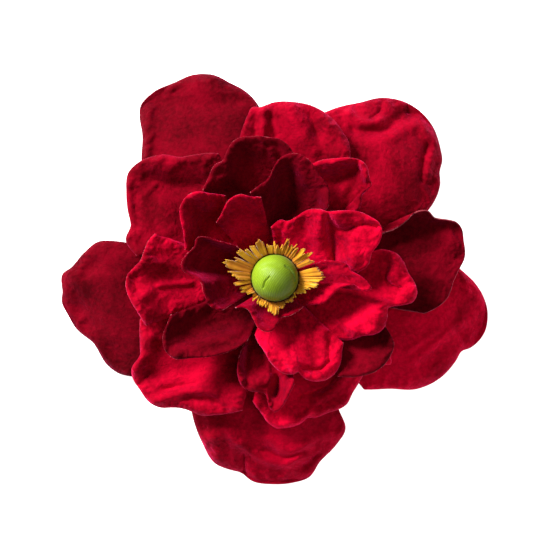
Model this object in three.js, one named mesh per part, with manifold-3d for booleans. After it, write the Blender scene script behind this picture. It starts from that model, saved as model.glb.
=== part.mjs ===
// Velvet flower hair clip: five tiers of five petals round a satin ball, on a felt disc with an alligator clip.
// Millimetres. +Z is the flower's axis, z = 0 is the table it lies on, and the clip runs along X under it.
import * as THREE from "three";
import Module from "manifold-3d";

const wasm = await Module();
wasm.setup();

// Driving sizes
const petalReach = 1; // scales how far every petal reaches beyond the ball
const petalThick = 0.8; // velvet and its lining together
const rootRadius = 4; // where the petals' roots start, just outside the wound stem
const tierGap = 0.6; // clear height between one tier's roots and the next
const ballRadius = 6.4; // satin ball, outside
const neckAbove = 2.8; // the ball's tied neck above the top tier's roots
const skinThick = 0.6;
const layerGap = 0.1; // between glued layers
const partGap = 0.3; // between parts that only lie beside each other
const clipWidth = 10;
const clipFront = 32; // the plate's front end
const clipBack = -24; // the plate's back end
const sheetThick = 0.9; // the clip's pressed steel
const hingeX = -8;
const hingeDrop = 2.5; // from the plate's lower face down to the hinge pin's axis
const pinRadius = 1;
const runningGap = 0.06; // between the pin and its holes
const wireRadius = 0.3; // the torsion spring's wire
const feltRadius = 19;
const feltThick = 1.2;
const glueThick = 0.4;
const jawClear = 0.5; // the jaw's lowest face above the table

// Heights that follow from them
const plateLow = 9.4;
const plateTop = plateLow + sheetThick;
const clipGlueLow = plateTop + layerGap;
const feltLow = clipGlueLow + glueThick + layerGap;
const padLow = feltLow + feltThick + layerGap;
const firstRoot = padLow + glueThick + 2 * layerGap + petalThick;
const tierStep = petalThick + tierGap;
const hingeZ = plateLow - hingeDrop;
const topRoot = firstRoot + 4 * tierStep;
const neckLow = topRoot + neckAbove;
const ballHeight = neckLow + 1 + ballRadius; // the ball's centre

const group = new THREE.Group();

const colours = {
  velvet: 0x96001e,
  satin: 0x8fae2c,
  stamen: 0xd09a1e,
  foam: 0xeeeeea,
  thread: 0x5c7020,
  steel: 0xb8bcc0,
  felt: 0x701020,
  glue: 0xe8e2cc,
  tape: 0x4d6b2f,
};

function addMesh(name, geometry, colour) {
  const metal = colour === "steel" ? 1 : 0;
  const material = new THREE.MeshStandardMaterial({ color: colours[colour], metalness: metal, roughness: 0.7 });
  const mesh = new THREE.Mesh(geometry, material);
  mesh.name = name;
  group.add(mesh);
}

// Closed bodies

// Joins two grids of points, each rows x columns and open, into one closed shell.
function shellOf(top, bottom, rows, columns) {
  const points = [...top, ...bottom];
  const half = rows * columns;
  const faces = [];
  for (let i = 0; i < rows - 1; i++) {
    for (let j = 0; j < columns - 1; j++) {
      const a = i * columns + j;
      const b = a + 1;
      const c = a + columns;
      const d = c + 1;
      faces.push([a, c, d], [a, d, b]);
      faces.push([half + a, half + d, half + c], [half + a, half + b, half + d]);
    }
  }
  const border = [];
  for (let j = 0; j < columns - 1; j++) border.push(j);
  for (let i = 0; i < rows - 1; i++) border.push(i * columns + columns - 1);
  for (let j = columns - 1; j > 0; j--) border.push((rows - 1) * columns + j);
  for (let i = rows - 1; i > 0; i--) border.push(i * columns);
  border.forEach((a, k) => {
    const b = border[(k + 1) % border.length];
    faces.push([a, b, half + b], [a, half + b, half + a]);
  });
  return geometryOf(points, faces);
}

function geometryOf(points, faces) {
  const geometry = new THREE.BufferGeometry();
  const flat = points.flatMap((p) => [p.x, p.y, p.z]);
  geometry.setAttribute("position", new THREE.Float32BufferAttribute(flat, 3));
  geometry.setIndex(faces.flat());
  geometry.computeVertexNormals();
  return geometry;
}

function solidOf(geometry) {
  const source = geometry.index ? geometry.toNonIndexed() : geometry;
  const found = new Map();
  const vertices = [];
  const triangles = [];
  const position = source.getAttribute("position");
  for (let i = 0; i < position.count; i += 3) {
    const corners = [i, i + 1, i + 2].map((k) => {
      const point = [position.getX(k), position.getY(k), position.getZ(k)];
      const key = point.map((n) => Math.round(n * 1e3)).join(" ");
      if (!found.has(key)) {
        found.set(key, found.size);
        vertices.push(...point);
      }
      return found.get(key);
    });
    // a triangle with two corners on one point has no area
    if (new Set(corners).size === 3) triangles.push(...corners);
  }
  return new wasm.Manifold(
    new wasm.Mesh({
      numProp: 3,
      vertProperties: new Float32Array(vertices),
      triVerts: new Uint32Array(triangles),
    }),
  );
}

function geometryFrom(solid) {
  const mesh = solid.getMesh();
  const geometry = new THREE.BufferGeometry();
  const flat = [];
  for (let i = 0; i < mesh.numVert; i++) {
    for (let k = 0; k < 3; k++) flat.push(mesh.vertProperties[i * mesh.numProp + k]);
  }
  geometry.setAttribute("position", new THREE.Float32BufferAttribute(flat, 3));
  geometry.setIndex([...mesh.triVerts]);
  geometry.computeVertexNormals();
  return geometry;
}

function turned(profile, segments) {
  const points = profile.map(([r, z]) => new THREE.Vector2(r, z));
  return new THREE.LatheGeometry(points, segments).rotateX(Math.PI / 2);
}

function disc(radius, low, thick, bevel, segments) {
  const high = low + thick;
  return turned([[0, low], [radius - bevel, low], [radius, low + bevel], [radius, high - bevel],
    [radius - bevel, high], [0, high]], segments);
}

// A side outline in x and z, made solid from y = from to y = to.
function sideSlab(outline, from, to) {
  const geometry = new THREE.ExtrudeGeometry(outline, { depth: to - from, bevelEnabled: false, curveSegments: 6 });
  const position = geometry.getAttribute("position");
  for (let i = 0; i < position.count; i++) {
    position.setXYZ(i, position.getX(i), to - position.getZ(i), position.getY(i));
  }
  return geometry;
}

function shapeOf(points) {
  return new THREE.Shape(points.map(([x, y]) => new THREE.Vector2(x, y)));
}

function roundHole(x, z, radius) {
  const sides = 20;
  const points = [];
  for (let k = 0; k < sides; k++) {
    const angle = (-2 * Math.PI * k) / sides;
    points.push(new THREE.Vector2(x + radius * Math.cos(angle), z + radius * Math.sin(angle)));
  }
  return new THREE.Path(points);
}

function roundedBox(x0, x1, halfWidth, corner) {
  const shape = new THREE.Shape();
  shape.moveTo(x0 + corner, -halfWidth);
  shape.lineTo(x1 - corner, -halfWidth);
  shape.quadraticCurveTo(x1, -halfWidth, x1, -halfWidth + corner);
  shape.lineTo(x1, halfWidth - corner);
  shape.quadraticCurveTo(x1, halfWidth, x1 - corner, halfWidth);
  shape.lineTo(x0 + corner, halfWidth);
  shape.quadraticCurveTo(x0, halfWidth, x0, halfWidth - corner);
  shape.lineTo(x0, -halfWidth + corner);
  shape.quadraticCurveTo(x0, -halfWidth, x0 + corner, -halfWidth);
  return shape;
}

// Petals: a rim point is [degrees round the axis, reach beyond the ball's side, height]. The height is above the
// table for the tier that hangs down to it, and above the petal's own root for the others.

const tiers = [
  {
    name: "outer_petal",
    halfRoot: 30,
    // level over the clip, then drooping to the table
    hangs: true,
    hold: 1.7,
    petals: [
      {
        rim: [
          [95.6, 41.4, 8], [97.2, 43.8, 7], [99.9, 46.6, 6], [102.9, 48.9, 5], [107.6, 52.8, 3],
          [111.8, 54.3, 2], [117.4, 54.6, 1], [123.4, 55.2, 0], [128.1, 54.1, 1], [129.6, 52.5, 2],
          [132.6, 47.8, 4], [138.6, 42.7, 8],
        ],
      },
      {
        rim: [
          [166.5, 34.6, 11], [167, 38.8, 9], [168.2, 43.3, 8], [172.3, 46.9, 6], [177.2, 50.5, 3],
          [178.8, 52.6, 2], [183.7, 52.8, 1], [186.3, 53.2, 0], [190, 52, 1], [193.9, 50.7, 2],
          [199.6, 47.1, 5], [207.8, 45.9, 5], [211.1, 44.4, 6], [214.5, 41.6, 8],
        ],
      },
      {
        rim: [
          [238.2, 37.1, 9], [243, 41, 7], [246.1, 43.3, 6], [252.8, 47.9, 3], [256.9, 48.3, 3],
          [260.4, 48.6, 2], [263.5, 50.3, 1], [269.5, 50.9, 0], [275, 50.7, 1], [279.6, 49.8, 2],
          [283.6, 46.2, 4], [289.9, 43, 5], [295.1, 39.4, 7], [295.5, 34.6, 9],
        ],
      },
      {
        rim: [
          [309, 33.1, 10], [316.5, 38, 7], [322.2, 43.7, 4], [328.9, 47.3, 3], [335.7, 49, 3],
          [338.6, 49.4, 3], [340.5, 51.4, 2], [345.7, 53.9, 0], [351, 53.5, 1], [355.1, 51.7, 3],
          [358, 49.6, 5], [363.1, 44.6, 8],
        ],
      },
      {
        rim: [
          [383.8, 39.4, 9], [385.3, 41.7, 8], [389.7, 46.1, 6], [393.1, 48, 5], [395.4, 50.4, 4],
          [398.2, 51.9, 3], [404.3, 54.4, 1], [407.7, 54.9, 0], [414.3, 54.1, 2], [419.6, 51.5, 3],
          [423.9, 47.8, 4], [429.3, 44.2, 6], [433.5, 41.1, 8],
        ],
      },
    ],
  },
  {
    name: "second_petal",
    halfRoot: 28,
    hold: 2,
    petals: [
      {
        rim: [
          [57.6, 32, 3.2], [61.8, 36.1, 2.4], [64.9, 37.7, 1.6], [69, 39.6, 0.8], [73.5, 41.1, 0],
          [77.4, 41.9, 0], [84.6, 42.2, 0], [90, 41.9, 0], [95, 40.7, 0.3], [97.7, 40.8, 0.8],
          [99.3, 39, 1.6], [104, 33.3, 3.2],
        ],
      },
      {
        rim: [
          [114.7, 31.1, 4], [118.4, 32.4, 3.2], [124.2, 34.2, 3.2], [128.3, 35.7, 2.4],
          [132.3, 39.3, 1.6], [135.2, 40.9, 0.8], [138.9, 42.5, 0], [144.5, 43.2, -0.8],
          [149.9, 40.8, 0], [155.2, 38.1, 1.6], [159.8, 35.8, 2.4], [165.7, 35.8, 2.4],
          [170.6, 32.1, 4],
        ],
      },
      {
        rim: [
          [197.4, 32.2, 4], [207.3, 35.1, 2.4], [209.9, 36.1, 1.6], [212.8, 40.3, 0.8],
          [215.2, 41.4, 0], [219.7, 41.8, 0], [225, 42.2, 0], [228.5, 41.3, 0], [231.9, 39, 0.8],
          [234.9, 37.6, 1.6], [238.3, 36.9, 1.6], [241.3, 36.6, 1.6], [247.1, 34.5, 2.4],
          [256, 31.1, 4],
        ],
      },
      {
        rim: [
          [260, 28.1, 3.2], [264.7, 31.2, 1.6], [267.2, 33.2, 0.8], [270.8, 34.9, 0], [273.5, 34.9, 0],
          [280, 34.2, 0.5], [283, 33.1, 0.8], [285.8, 33.5, 0.8], [291.1, 33.4, 0.8],
          [299.7, 33.5, 1.4], [304, 31.7, 2.9], [308, 30.6, 3.8], [312.2, 29.6, 4.2], [315, 29.1, 4.5],
          [318.4, 30, 5.1], [321.5, 31.7, 5.6], [323.2, 33.1, 5.6], [326.5, 31.5, 5.6],
          [329.4, 30.3, 4.8],
        ],
      },
      {
        rim: [
          [346.9, 36, 3.2], [349.9, 39, 2.4], [353.7, 41.5, 2.2], [359, 42.8, 2.2], [363.1, 44.6, 2.2],
          [366, 46.1, 2.4], [371.4, 46.6, 3.2], [375, 46.8, 4.6], [377, 45.9, 5.6], [378.5, 43.8, 6.4],
          [380.6, 40.6, 7.5], [383.8, 39.3, 8], [384.9, 36.7, 8.6], [382.7, 31.4, 8.6],
          [382.1, 28.6, 8.6],
        ],
      },
    ],
  },
  {
    name: "third_petal",
    halfRoot: 24,
    hold: 2.4,
    petals: [
      {
        rim: [
          [39.9, 23.6, 11.2], [41.8, 25, 11.7], [44.5, 27, 12.1], [44.1, 30, 12.1], [46.8, 31, 12.1],
          [50.3, 32.8, 12.1], [54.5, 33.1, 12.1], [58.4, 31.9, 12.1], [63.4, 29.9, 12.1],
          [68.6, 27.9, 11.6], [71.8, 26.2, 11.2],
        ],
      },
      {
        rim: [
          [80, 26.1, 11.2], [84, 29.6, 11.2], [88.3, 31.4, 11.2], [92.9, 31.9, 11.7],
          [96.5, 32.4, 12.1], [99.6, 32.6, 12.1], [105.4, 32.8, 12.1], [110.4, 30.7, 11.2],
          [113.5, 28.7, 10.9], [118.4, 28.3, 10.4], [123.7, 26.3, 9.9], [128.9, 24.7, 9.5],
        ],
      },
      {
        rim: [
          [160, 28.6, 7.8], [163.1, 29.5, 8.3], [168, 30, 8.7], [173.1, 30.7, 9.5], [175.9, 32.2, 9.5],
          [178.8, 33.8, 9.5], [181.9, 34.3, 9.5], [185.9, 34, 9.5], [189.6, 33.2, 9.5],
          [193.1, 32.3, 9.5], [200, 31.1, 7.8],
        ],
      },
      {
        rim: [
          [246, 17.6, 7], [248.5, 21.4, 7], [252.9, 24.4, 7], [257.4, 25.2, 7], [263.5, 25.2, 7.3],
          [265.6, 25.6, 7.5], [267.8, 29.1, 7.8], [270, 30.2, 7.8], [273.1, 28.9, 8.2],
          [275.8, 26.5, 8.7], [280, 23.1, 9.5],
        ],
      },
      {
        rim: [
          [303, 25.6, 7.8], [310, 28.6, 8.7], [318, 31.1, 9.5], [325, 31.6, 9.5], [331, 30.6, 9.5],
          [336, 26.6, 9.5],
        ],
      },
    ],
  },
  {
    name: "fourth_petal",
    halfRoot: 27,
    hold: 2.2,
    petals: [
      {
        rim: [
          [53.5, 18.2, 12.2], [59.5, 22.3, 12.2], [67.3, 24.3, 12.8], [71.8, 26.2, 13.2],
          [75.3, 27.2, 13.4], [79.1, 27.8, 13.4], [82.6, 27.6, 13.4], [87.1, 26.2, 13.4],
          [90, 24.1, 13.4], [92.5, 21.4, 13.4], [100, 19, 12.8], [105.8, 17.9, 12.2],
        ],
      },
      {
        rim: [
          [121.5, 19.9, 12.2], [129, 23.3, 13.4], [131.4, 24.8, 13.8], [135.5, 26, 14],
          [139.4, 26.2, 14], [143.8, 25.5, 13.8], [148.1, 23.7, 13.4], [152.7, 21.5, 12.6],
          [156, 20.6, 12.2], [162, 19.2, 11],
        ],
      },
      {
        hold: 2.8,
        rim: [
          [199.8, 23.7, 9.8], [203, 25.3, 10.2], [206.5, 27.4, 10.4], [210, 28.8, 10.4],
          [214.7, 29.4, 10.4], [219.2, 28.4, 10.4], [223.9, 24.9, 10.4], [229.4, 21.9, 10.2],
          [235.9, 18.2, 9.8], [241.2, 15.3, 9.8], [245.7, 12.3, 9.8],
        ],
      },
      {
        hold: 0.9,
        rim: [
          [251, 10.1, 8.6], [255, 11.6, 9], [261.4, 13.6, 9.8], [268.7, 17.3, 10.4],
          [274.2, 19.4, 10.4], [280.7, 20.2, 10.2], [284.4, 20.1, 9.8], [285.5, 21.3, 9.5],
          [289.4, 23.3, 8.6], [293.8, 24.3, 8.3], [298.6, 24.6, 8], [303.6, 24, 8], [308.1, 22.6, 8.3],
          [312.5, 20.5, 9.2], [316, 19.4, 9.8],
        ],
      },
      {
        hold: 0.8,
        rim: [
          [314, 16.6, 5], [321, 20.6, 6.8], [326.8, 22.5, 9], [330.5, 24.9, 9.6], [335.2, 26.3, 9.8],
          [339.7, 26.1, 9.8], [345.7, 25.9, 9.8], [347.8, 28.8, 9.6], [350, 31.6, 9.2],
          [353.7, 32.5, 9.2], [357.9, 31.6, 9.2], [362.2, 29.9, 9.7], [367.2, 28.8, 10.1],
          [372, 26.8, 10.7], [375, 23.6, 11],
        ],
      },
    ],
  },
  {
    name: "inner_petal",
    halfRoot: 27,
    hold: 1.8,
    petals: [
      {
        hold: 0.95,
        rim: [
          [4, 16.1, 10.9], [7, 18.6, 12], [10, 19.6, 12.5], [14.4, 20.6, 13.6], [19.3, 23.6, 14.6],
          [23.8, 25.3, 15.2], [27.7, 25.6, 15.7], [32.3, 24.5, 16.2], [39.1, 22.4, 16.2],
          [45.4, 19.4, 15.7], [50.7, 17, 14.6], [58.1, 15.7, 13.6], [65.2, 13.9, 12.5],
          [70.2, 11.5, 12], [75.4, 9.8, 11.4], [86, 9.4, 10.4], [94, 7.6, 9.9],
        ],
      },
      {
        rim: [
          [100, 15.8, 14.6], [106.5, 16.5, 15.2], [112.5, 18, 15.7], [120.9, 18, 15.7],
          [127.3, 16.7, 15.7], [131, 16, 15.5], [136, 15.5, 15.2],
        ],
      },
      {
        rim: [
          [141, 7.1, 12.5], [146, 11.1, 13.6], [148.5, 13.6, 14.2], [149, 14.8, 14.6],
          [151.9, 17, 14.6], [159.1, 17.1, 14.6], [166, 18.5, 14.6], [171.7, 19.2, 14.6],
          [175.6, 18.3, 14.6], [178.6, 15.9, 14.1], [182.3, 14, 13.8], [190.8, 13.3, 13.6],
          [202.7, 12.8, 13], [208.4, 11.4, 12.7], [211, 10.1, 12.5],
        ],
      },
      {
        hold: 1.25,
        rim: [
          [217, 7, 12.5], [221.6, 5.6, 12.2], [232.8, 4.9, 12], [242.9, 6.2, 12.2], [251.9, 7.8, 12.7],
          [260.2, 8.2, 13], [268.3, 7.4, 13], [272.7, 5.8, 12.6], [278, 4.6, 12.2], [290, 4.5, 12],
          [314, 4.5, 10.9],
        ],
      },
      {
        hold: 0.75,
        rim: [
          [321, 5, 9.3], [327, 6.6, 10.7], [333, 8.4, 12], [340, 9.4, 12.5], [347.6, 10.6, 13],
          [353.1, 12.4, 13.6], [355.2, 14.6, 13.6], [352.1, 17.6, 13.6], [353.4, 19.6, 13.6],
          [356.8, 18.9, 13.8], [360.7, 17, 14.1], [365.3, 14.3, 14.1], [371.3, 13.2, 14.1],
          [375.3, 10.7, 13.6], [379, 8.1, 12.5],
        ],
      },
    ],
  },
];

// How much of its rise a petal has made at the share v of the way from root to rim.
function riseAt(hangs, hold, v) {
  return hangs ? Math.max((v - 0.5) / 0.5, 0) ** hold : v ** hold;
}

function petalPoint(petal, u, v) {
  const edge = petal.rim.getPoint(u);
  const root = petal.middle + petal.halfRoot * (2 * u - 1);
  const angle = THREE.MathUtils.degToRad(THREE.MathUtils.lerp(root, edge.x, v ** 0.3));
  const reach = THREE.MathUtils.lerp(rootRadius, ballRadius + edge.y * petalReach, v);
  const rimHeight = edge.z + (petal.hangs ? 0 : petal.rootZ);
  const height = petal.rootZ + (rimHeight - petal.rootZ) * riseAt(petal.hangs, petal.hold, v);
  return new THREE.Vector3(reach * Math.cos(angle), reach * Math.sin(angle), height);
}

function petalGeometry(petal) {
  const rows = 9; // root to rim
  const columns = 13; // across
  const top = [];
  const bottom = [];
  for (let i = 0; i < rows; i++) {
    for (let j = 0; j < columns; j++) {
      const u = j / (columns - 1);
      const v = i / (rows - 1);
      const here = petalPoint(petal, u, v);
      const along = petalPoint(petal, u, Math.min(v + 0.05, 1)).sub(petalPoint(petal, u, Math.max(v - 0.05, 0)));
      const slope = Math.abs(along.z) / Math.hypot(along.x, along.y);
      // measured straight down, a sloping sheet is thicker than it is across
      const lowest = here.z - petalThick * Math.min(Math.hypot(1, slope), 1.5);
      // the rim's lowest tips lie on the table
      const lift = Math.max(0, -lowest);
      top.push(here.clone().setZ(here.z + lift));
      bottom.push(here.clone().setZ(lowest + lift));
    }
  }
  return shellOf(top, bottom, rows, columns);
}

function addPetals() {
  tiers.forEach((tier, level) => {
    tier.petals.forEach(({ rim, hold }, k) => {
      const points = rim.map((p) => new THREE.Vector3(...p));
      const petal = {
        rim: new THREE.CatmullRomCurve3(points, false, "centripetal"),
        middle: (rim[0][0] + rim[rim.length - 1][0]) / 2,
        rootZ: firstRoot + level * tierStep,
        halfRoot: tier.halfRoot,
        hangs: tier.hangs,
        hold: hold ?? tier.hold,
      };
      addMesh(`${tier.name}_${k + 1}`, petalGeometry(petal), "velvet");
    });
  });
}

// Pistil

function arcProfile(radius, fromDegrees, toDegrees, steps) {
  const points = [];
  for (let k = 0; k <= steps; k++) {
    const polar = THREE.MathUtils.degToRad(fromDegrees + ((toDegrees - fromDegrees) * k) / steps);
    const across = Math.sin(polar) < 1e-9 ? 0 : radius * Math.sin(polar);
    points.push([across, ballHeight + radius * Math.cos(polar)]);
  }
  return points;
}

function addBall() {
  const coreRadius = ballRadius - skinThick - 0.2;
  addMesh("ball_core", turned(arcProfile(coreRadius, 180, 0, 8), 16), "foam");

  const neck = 1.9;
  const skinIn = ballRadius - skinThick;
  const outside = arcProfile(ballRadius, 155, 0, 8);
  const inside = arcProfile(skinIn, 0, 160, 7);
  const hem = [[neck, neckLow + 0.8], [neck, neckLow], [neck - skinThick, neckLow],
    [neck - skinThick, neckLow + 0.8]];
  addMesh("ball_skin", turned([...inside, ...hem.reverse(), ...outside], 16), "satin");

  const thread = [];
  for (let k = 0; k <= 6; k++) {
    const angle = ((k % 6) / 6) * 2 * Math.PI;
    thread.push([neck + 0.5 + 0.3 * Math.cos(angle), neckLow + 0.4 + 0.3 * Math.sin(angle)]);
  }
  addMesh("neck_thread", turned(thread, 16), "thread");

  const wireLow = padLow + glueThick + layerGap;
  const wireTop = ballHeight - coreRadius - partGap;
  addMesh("stem_wire", turned([[0, wireLow], [0.6, wireLow], [0.6, wireTop], [0, wireTop]], 10), "steel");
  const tapeTop = neckLow - partGap;
  const tape = [[0.8, wireLow], [3.2, wireLow], [3.4, wireLow + 1.5], [3.2, tapeTop - 1], [2.4, tapeTop],
    [0.8, tapeTop], [0.8, wireLow]];
  addMesh("stem_tape", turned(tape, 16), "tape");
}

// Stamens: fringed strips standing round the ball. An outline point is [degrees, reach beyond the ball's side].
const stamens = [
  { name: "stamen_strip_top", outline: [[22, 5.8], [34, 5.4], [49, 4.6], [61, 4.6], [70.5, 5.1], [79, 3], [93, 3.5],
    [104, 3.8]] },
  { name: "stamen_strip_left", outline: [[108, 4], [128, 5.2], [145, 6], [155, 6.9], [163.6, 7.5], [175, 6.6],
    [183, 5.7], [192, 3.8]] },
  { name: "stamen_strip_bottom", outline: [[196, 3.2], [212, 2.2], [234, 1.6], [250, 2.2], [262, 3.6], [276, 2.3],
    [290, 1.6]] },
  { name: "stamen_strip_right", outline: [[294, 1.5], [304, 1.5], [318, 1.6], [330, 2.2], [341, 4], [352, 6.2],
    [361, 7.1], [374, 6.1]] },
];

// A strip's wall at one angle: from its glued foot up past the ball to its fringed end.
function stamenWall(reach, degrees, inset) {
  const angle = THREE.MathUtils.degToRad(degrees);
  const foot = neckLow - 0.1;
  const side = ballRadius + 0.5;
  const end = ballHeight - 1 + (reach - side) * 0.8;
  const flare = 0.963 * (side - 4.2);
  const stages = [[4, foot], [side - 0.2, foot + flare], [side + 0.1, ballHeight - 2.6], [reach, end]];
  return stages.map(([r, z]) => {
    const wall = r + (r === reach ? 0 : inset);
    return new THREE.Vector3(wall * Math.cos(angle), wall * Math.sin(angle), z);
  });
}

function addStamens() {
  for (const { name, outline } of stamens) {
    const path = new THREE.CatmullRomCurve3(outline.map(([a, r]) => new THREE.Vector3(a, r, 0)));
    const columns = 13;
    const inner = [];
    const outer = [];
    for (let j = 0; j < columns; j++) {
      const { x: degrees, y: beyond } = path.getPoint(j / (columns - 1));
      const reach = ballRadius + beyond;
      const ruffle = j % 2 ? 0.25 : 0;
      const inside = stamenWall(reach - 0.5, degrees, ruffle);
      const outside = stamenWall(reach, degrees, ruffle + 0.5);
      inner.push(inside);
      outer.push(outside);
    }
    const rows = inner[0].length;
    const lay = (walls) => walls[0].flatMap((_, i) => walls.map((wall) => wall[i]));
    addMesh(name, shellOf(lay(inner), lay(outer), rows, columns), "stamen");
  }
}

// Back

function addBack() {
  addMesh("glue_pad", disc(12, padLow, glueThick, 0.15, 24), "glue");
  addMesh("felt_backing", disc(feltRadius, feltLow, feltThick, 0.25, 36), "felt");
  const glue = new THREE.ExtrudeGeometry(roundedBox(-14, 17, clipWidth / 2 - 1, 2), {
    depth: glueThick,
    bevelEnabled: false,
    curveSegments: 3,
  });
  addMesh("clip_glue", glue.translate(0, 0, clipGlueLow), "glue");
}

// Clip

// An ear round the hinge: a round end on a straight root at height z, bored for the pin.
function ear(radius, rootHalf, rootZ) {
  const shape = new THREE.Shape();
  const side = rootZ < hingeZ ? 1 : -1;
  const from = side > 0 ? 0 : Math.PI;
  shape.moveTo(hingeX + side * rootHalf, rootZ);
  shape.lineTo(hingeX + side * radius, hingeZ);
  shape.absarc(hingeX, hingeZ, radius, from, from + Math.PI, false);
  shape.lineTo(hingeX - side * rootHalf, rootZ);
  shape.holes.push(roundHole(hingeX, hingeZ, pinRadius + runningGap));
  return shape;
}

function addPlate() {
  const outline = roundedBox(clipBack, clipFront, clipWidth / 2, 2.5);
  const flat = new THREE.ExtrudeGeometry(outline, { depth: sheetThick, bevelEnabled: false, curveSegments: 4 });
  let solid = solidOf(flat.translate(0, 0, plateLow));
  const earShape = ear(pinRadius + 1.3, pinRadius + 3.5, plateLow + 0.2);
  for (const side of [-1, 1]) {
    const inner = clipWidth / 2 - sheetThick;
    const [from, to] = side > 0 ? [inner, clipWidth / 2] : [-clipWidth / 2, -inner];
    solid = solid.add(solidOf(sideSlab(earShape, from, to)));
  }
  addMesh("clip_plate", geometryFrom(solid), "steel");
}

// The jaw's middle line from the finger tab to the tip, as x and height above the table.
const jawLine = [[clipBack - 0.2, 1.3], [clipBack + 4, 2.2], [-13, 3.7], [-3, 3.5], [5, jawClear + 0.4], [16, jawClear + 0.4],
  [clipFront - 10, 2.9], [clipFront - 4.8, 7.2], [clipFront - 3.4, 8], [clipFront + 0.8, 8.1]];
const jawThick = 0.8;

function jawOutline() {
  const upper = [];
  const lower = [];
  jawLine.forEach(([x, z], k) => {
    const [ax, az] = jawLine[Math.max(k - 1, 0)];
    const [bx, bz] = jawLine[Math.min(k + 1, jawLine.length - 1)];
    const length = Math.hypot(bx - ax, bz - az);
    const [nx, nz] = [-(bz - az) / length, (bx - ax) / length];
    const isFlat = k === 4 || k === 5;
    upper.push([x + (isFlat ? 0 : (nx * jawThick) / 2), z + (isFlat ? 1 : nz) * (jawThick / 2)]);
    lower.push([x - (isFlat ? 0 : (nx * jawThick) / 2), z - (isFlat ? 1 : nz) * (jawThick / 2)]);
  });
  // saw teeth along the gripping end
  const teeth = 4;
  const from = upper[8];
  const to = upper[9];
  const toothed = [];
  for (let k = 0; k < teeth; k++) {
    const x = THREE.MathUtils.lerp(from[0], to[0], (k + 0.5) / teeth);
    toothed.push([x, plateLow - partGap]);
    if (k < teeth - 1) toothed.push([THREE.MathUtils.lerp(from[0], to[0], (k + 1) / teeth), from[1]]);
  }
  return shapeOf([...upper.slice(0, 9), ...toothed, to, ...lower.reverse()]);
}

function addJaw() {
  const wide = clipWidth / 2;
  const narrow = wide - sheetThick - partGap;
  const plan = shapeOf([[clipBack - 1, -wide + 1.5], [clipBack + 1, -wide], [-14, -wide], [-13.2, -narrow],
    [-3, -narrow], [-2, -wide], [clipFront - 3, -wide], [clipFront + 1, -wide + 2.5], [clipFront + 1, wide - 2.5],
    [clipFront - 3, wide], [-2, wide], [-3, narrow], [-13.2, narrow], [-14, wide], [clipBack + 1, wide],
    [clipBack - 1, wide - 1.5]]);
  const block = new THREE.ExtrudeGeometry(plan, { depth: plateLow, bevelEnabled: false });
  let solid = solidOf(sideSlab(jawOutline(), -wide, wide)).intersect(solidOf(block));
  const earShape = ear(pinRadius + 1.1, pinRadius + 2.4, 3.4);
  for (const side of [-1, 1]) {
    const [from, to] = side > 0 ? [narrow - jawThick, narrow] : [-narrow, -narrow + jawThick];
    solid = solid.add(solidOf(sideSlab(earShape, from, to)));
  }
  addMesh("clip_jaw", geometryFrom(solid), "steel");
}

function addPin() {
  const half = clipWidth / 2 + 0.1;
  const head = pinRadius + 0.4;
  const profile = [[0, -half - 0.5], [head - 0.2, -half - 0.5], [head, -half - 0.3], [head, -half],
    [pinRadius, -half], [pinRadius, half], [head, half], [head, half + 0.3], [head - 0.2, half + 0.5],
    [0, half + 0.5]];
  const points = profile.map(([r, y]) => new THREE.Vector2(r, y));
  addMesh("hinge_pin", new THREE.LatheGeometry(points, 20).translate(hingeX, 0, hingeZ), "steel");
}

// A coil round the pin with both legs reaching back between the plate and the finger tab.
function addSpring() {
  const coil = pinRadius + wireRadius + 0.45;
  const turns = 4.5;
  const half = clipWidth / 2 - sheetThick - partGap - jawThick - wireRadius - 0.5; // clear of the jaw's ears
  const points = [[-16, -half, plateLow - wireRadius - 0.2], [-12, -half, hingeZ + coil + 0.05]];
  const perTurn = 9;
  for (let k = 0; k <= turns * perTurn; k++) {
    const share = k / (turns * perTurn);
    const angle = Math.PI / 2 - share * turns * 2 * Math.PI;
    points.push([hingeX + coil * Math.cos(angle), half * (2 * share - 1), hingeZ + coil * Math.sin(angle)]);
  }
  points.push([-12.5, half, 4.75], [-17, half, 3.95]);
  const path = new THREE.CatmullRomCurve3(points.map((p) => new THREE.Vector3(...p)), false, "centripetal");
  const wire = new THREE.Shape();
  wire.absarc(0, 0, wireRadius, 0, 2 * Math.PI, false);
  const geometry = new THREE.ExtrudeGeometry(wire, {
    steps: 52,
    curveSegments: 3,
    bevelEnabled: false,
    extrudePath: path,
  });
  addMesh("torsion_spring", geometry, "steel");
}

addPetals();
addBall();
addStamens();
addBack();
addPlate();
addJaw();
addPin();
addSpring();

export default group;
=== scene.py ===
"""Looks of a velvet flower hair clip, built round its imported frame.

Metres, +Z up, the flower face-up on a table.
"""

import logging
import math
import zlib
from dataclasses import dataclass, field
from enum import Enum

import bpy
import numpy as np
from mathutils import Matrix, Vector


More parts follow.
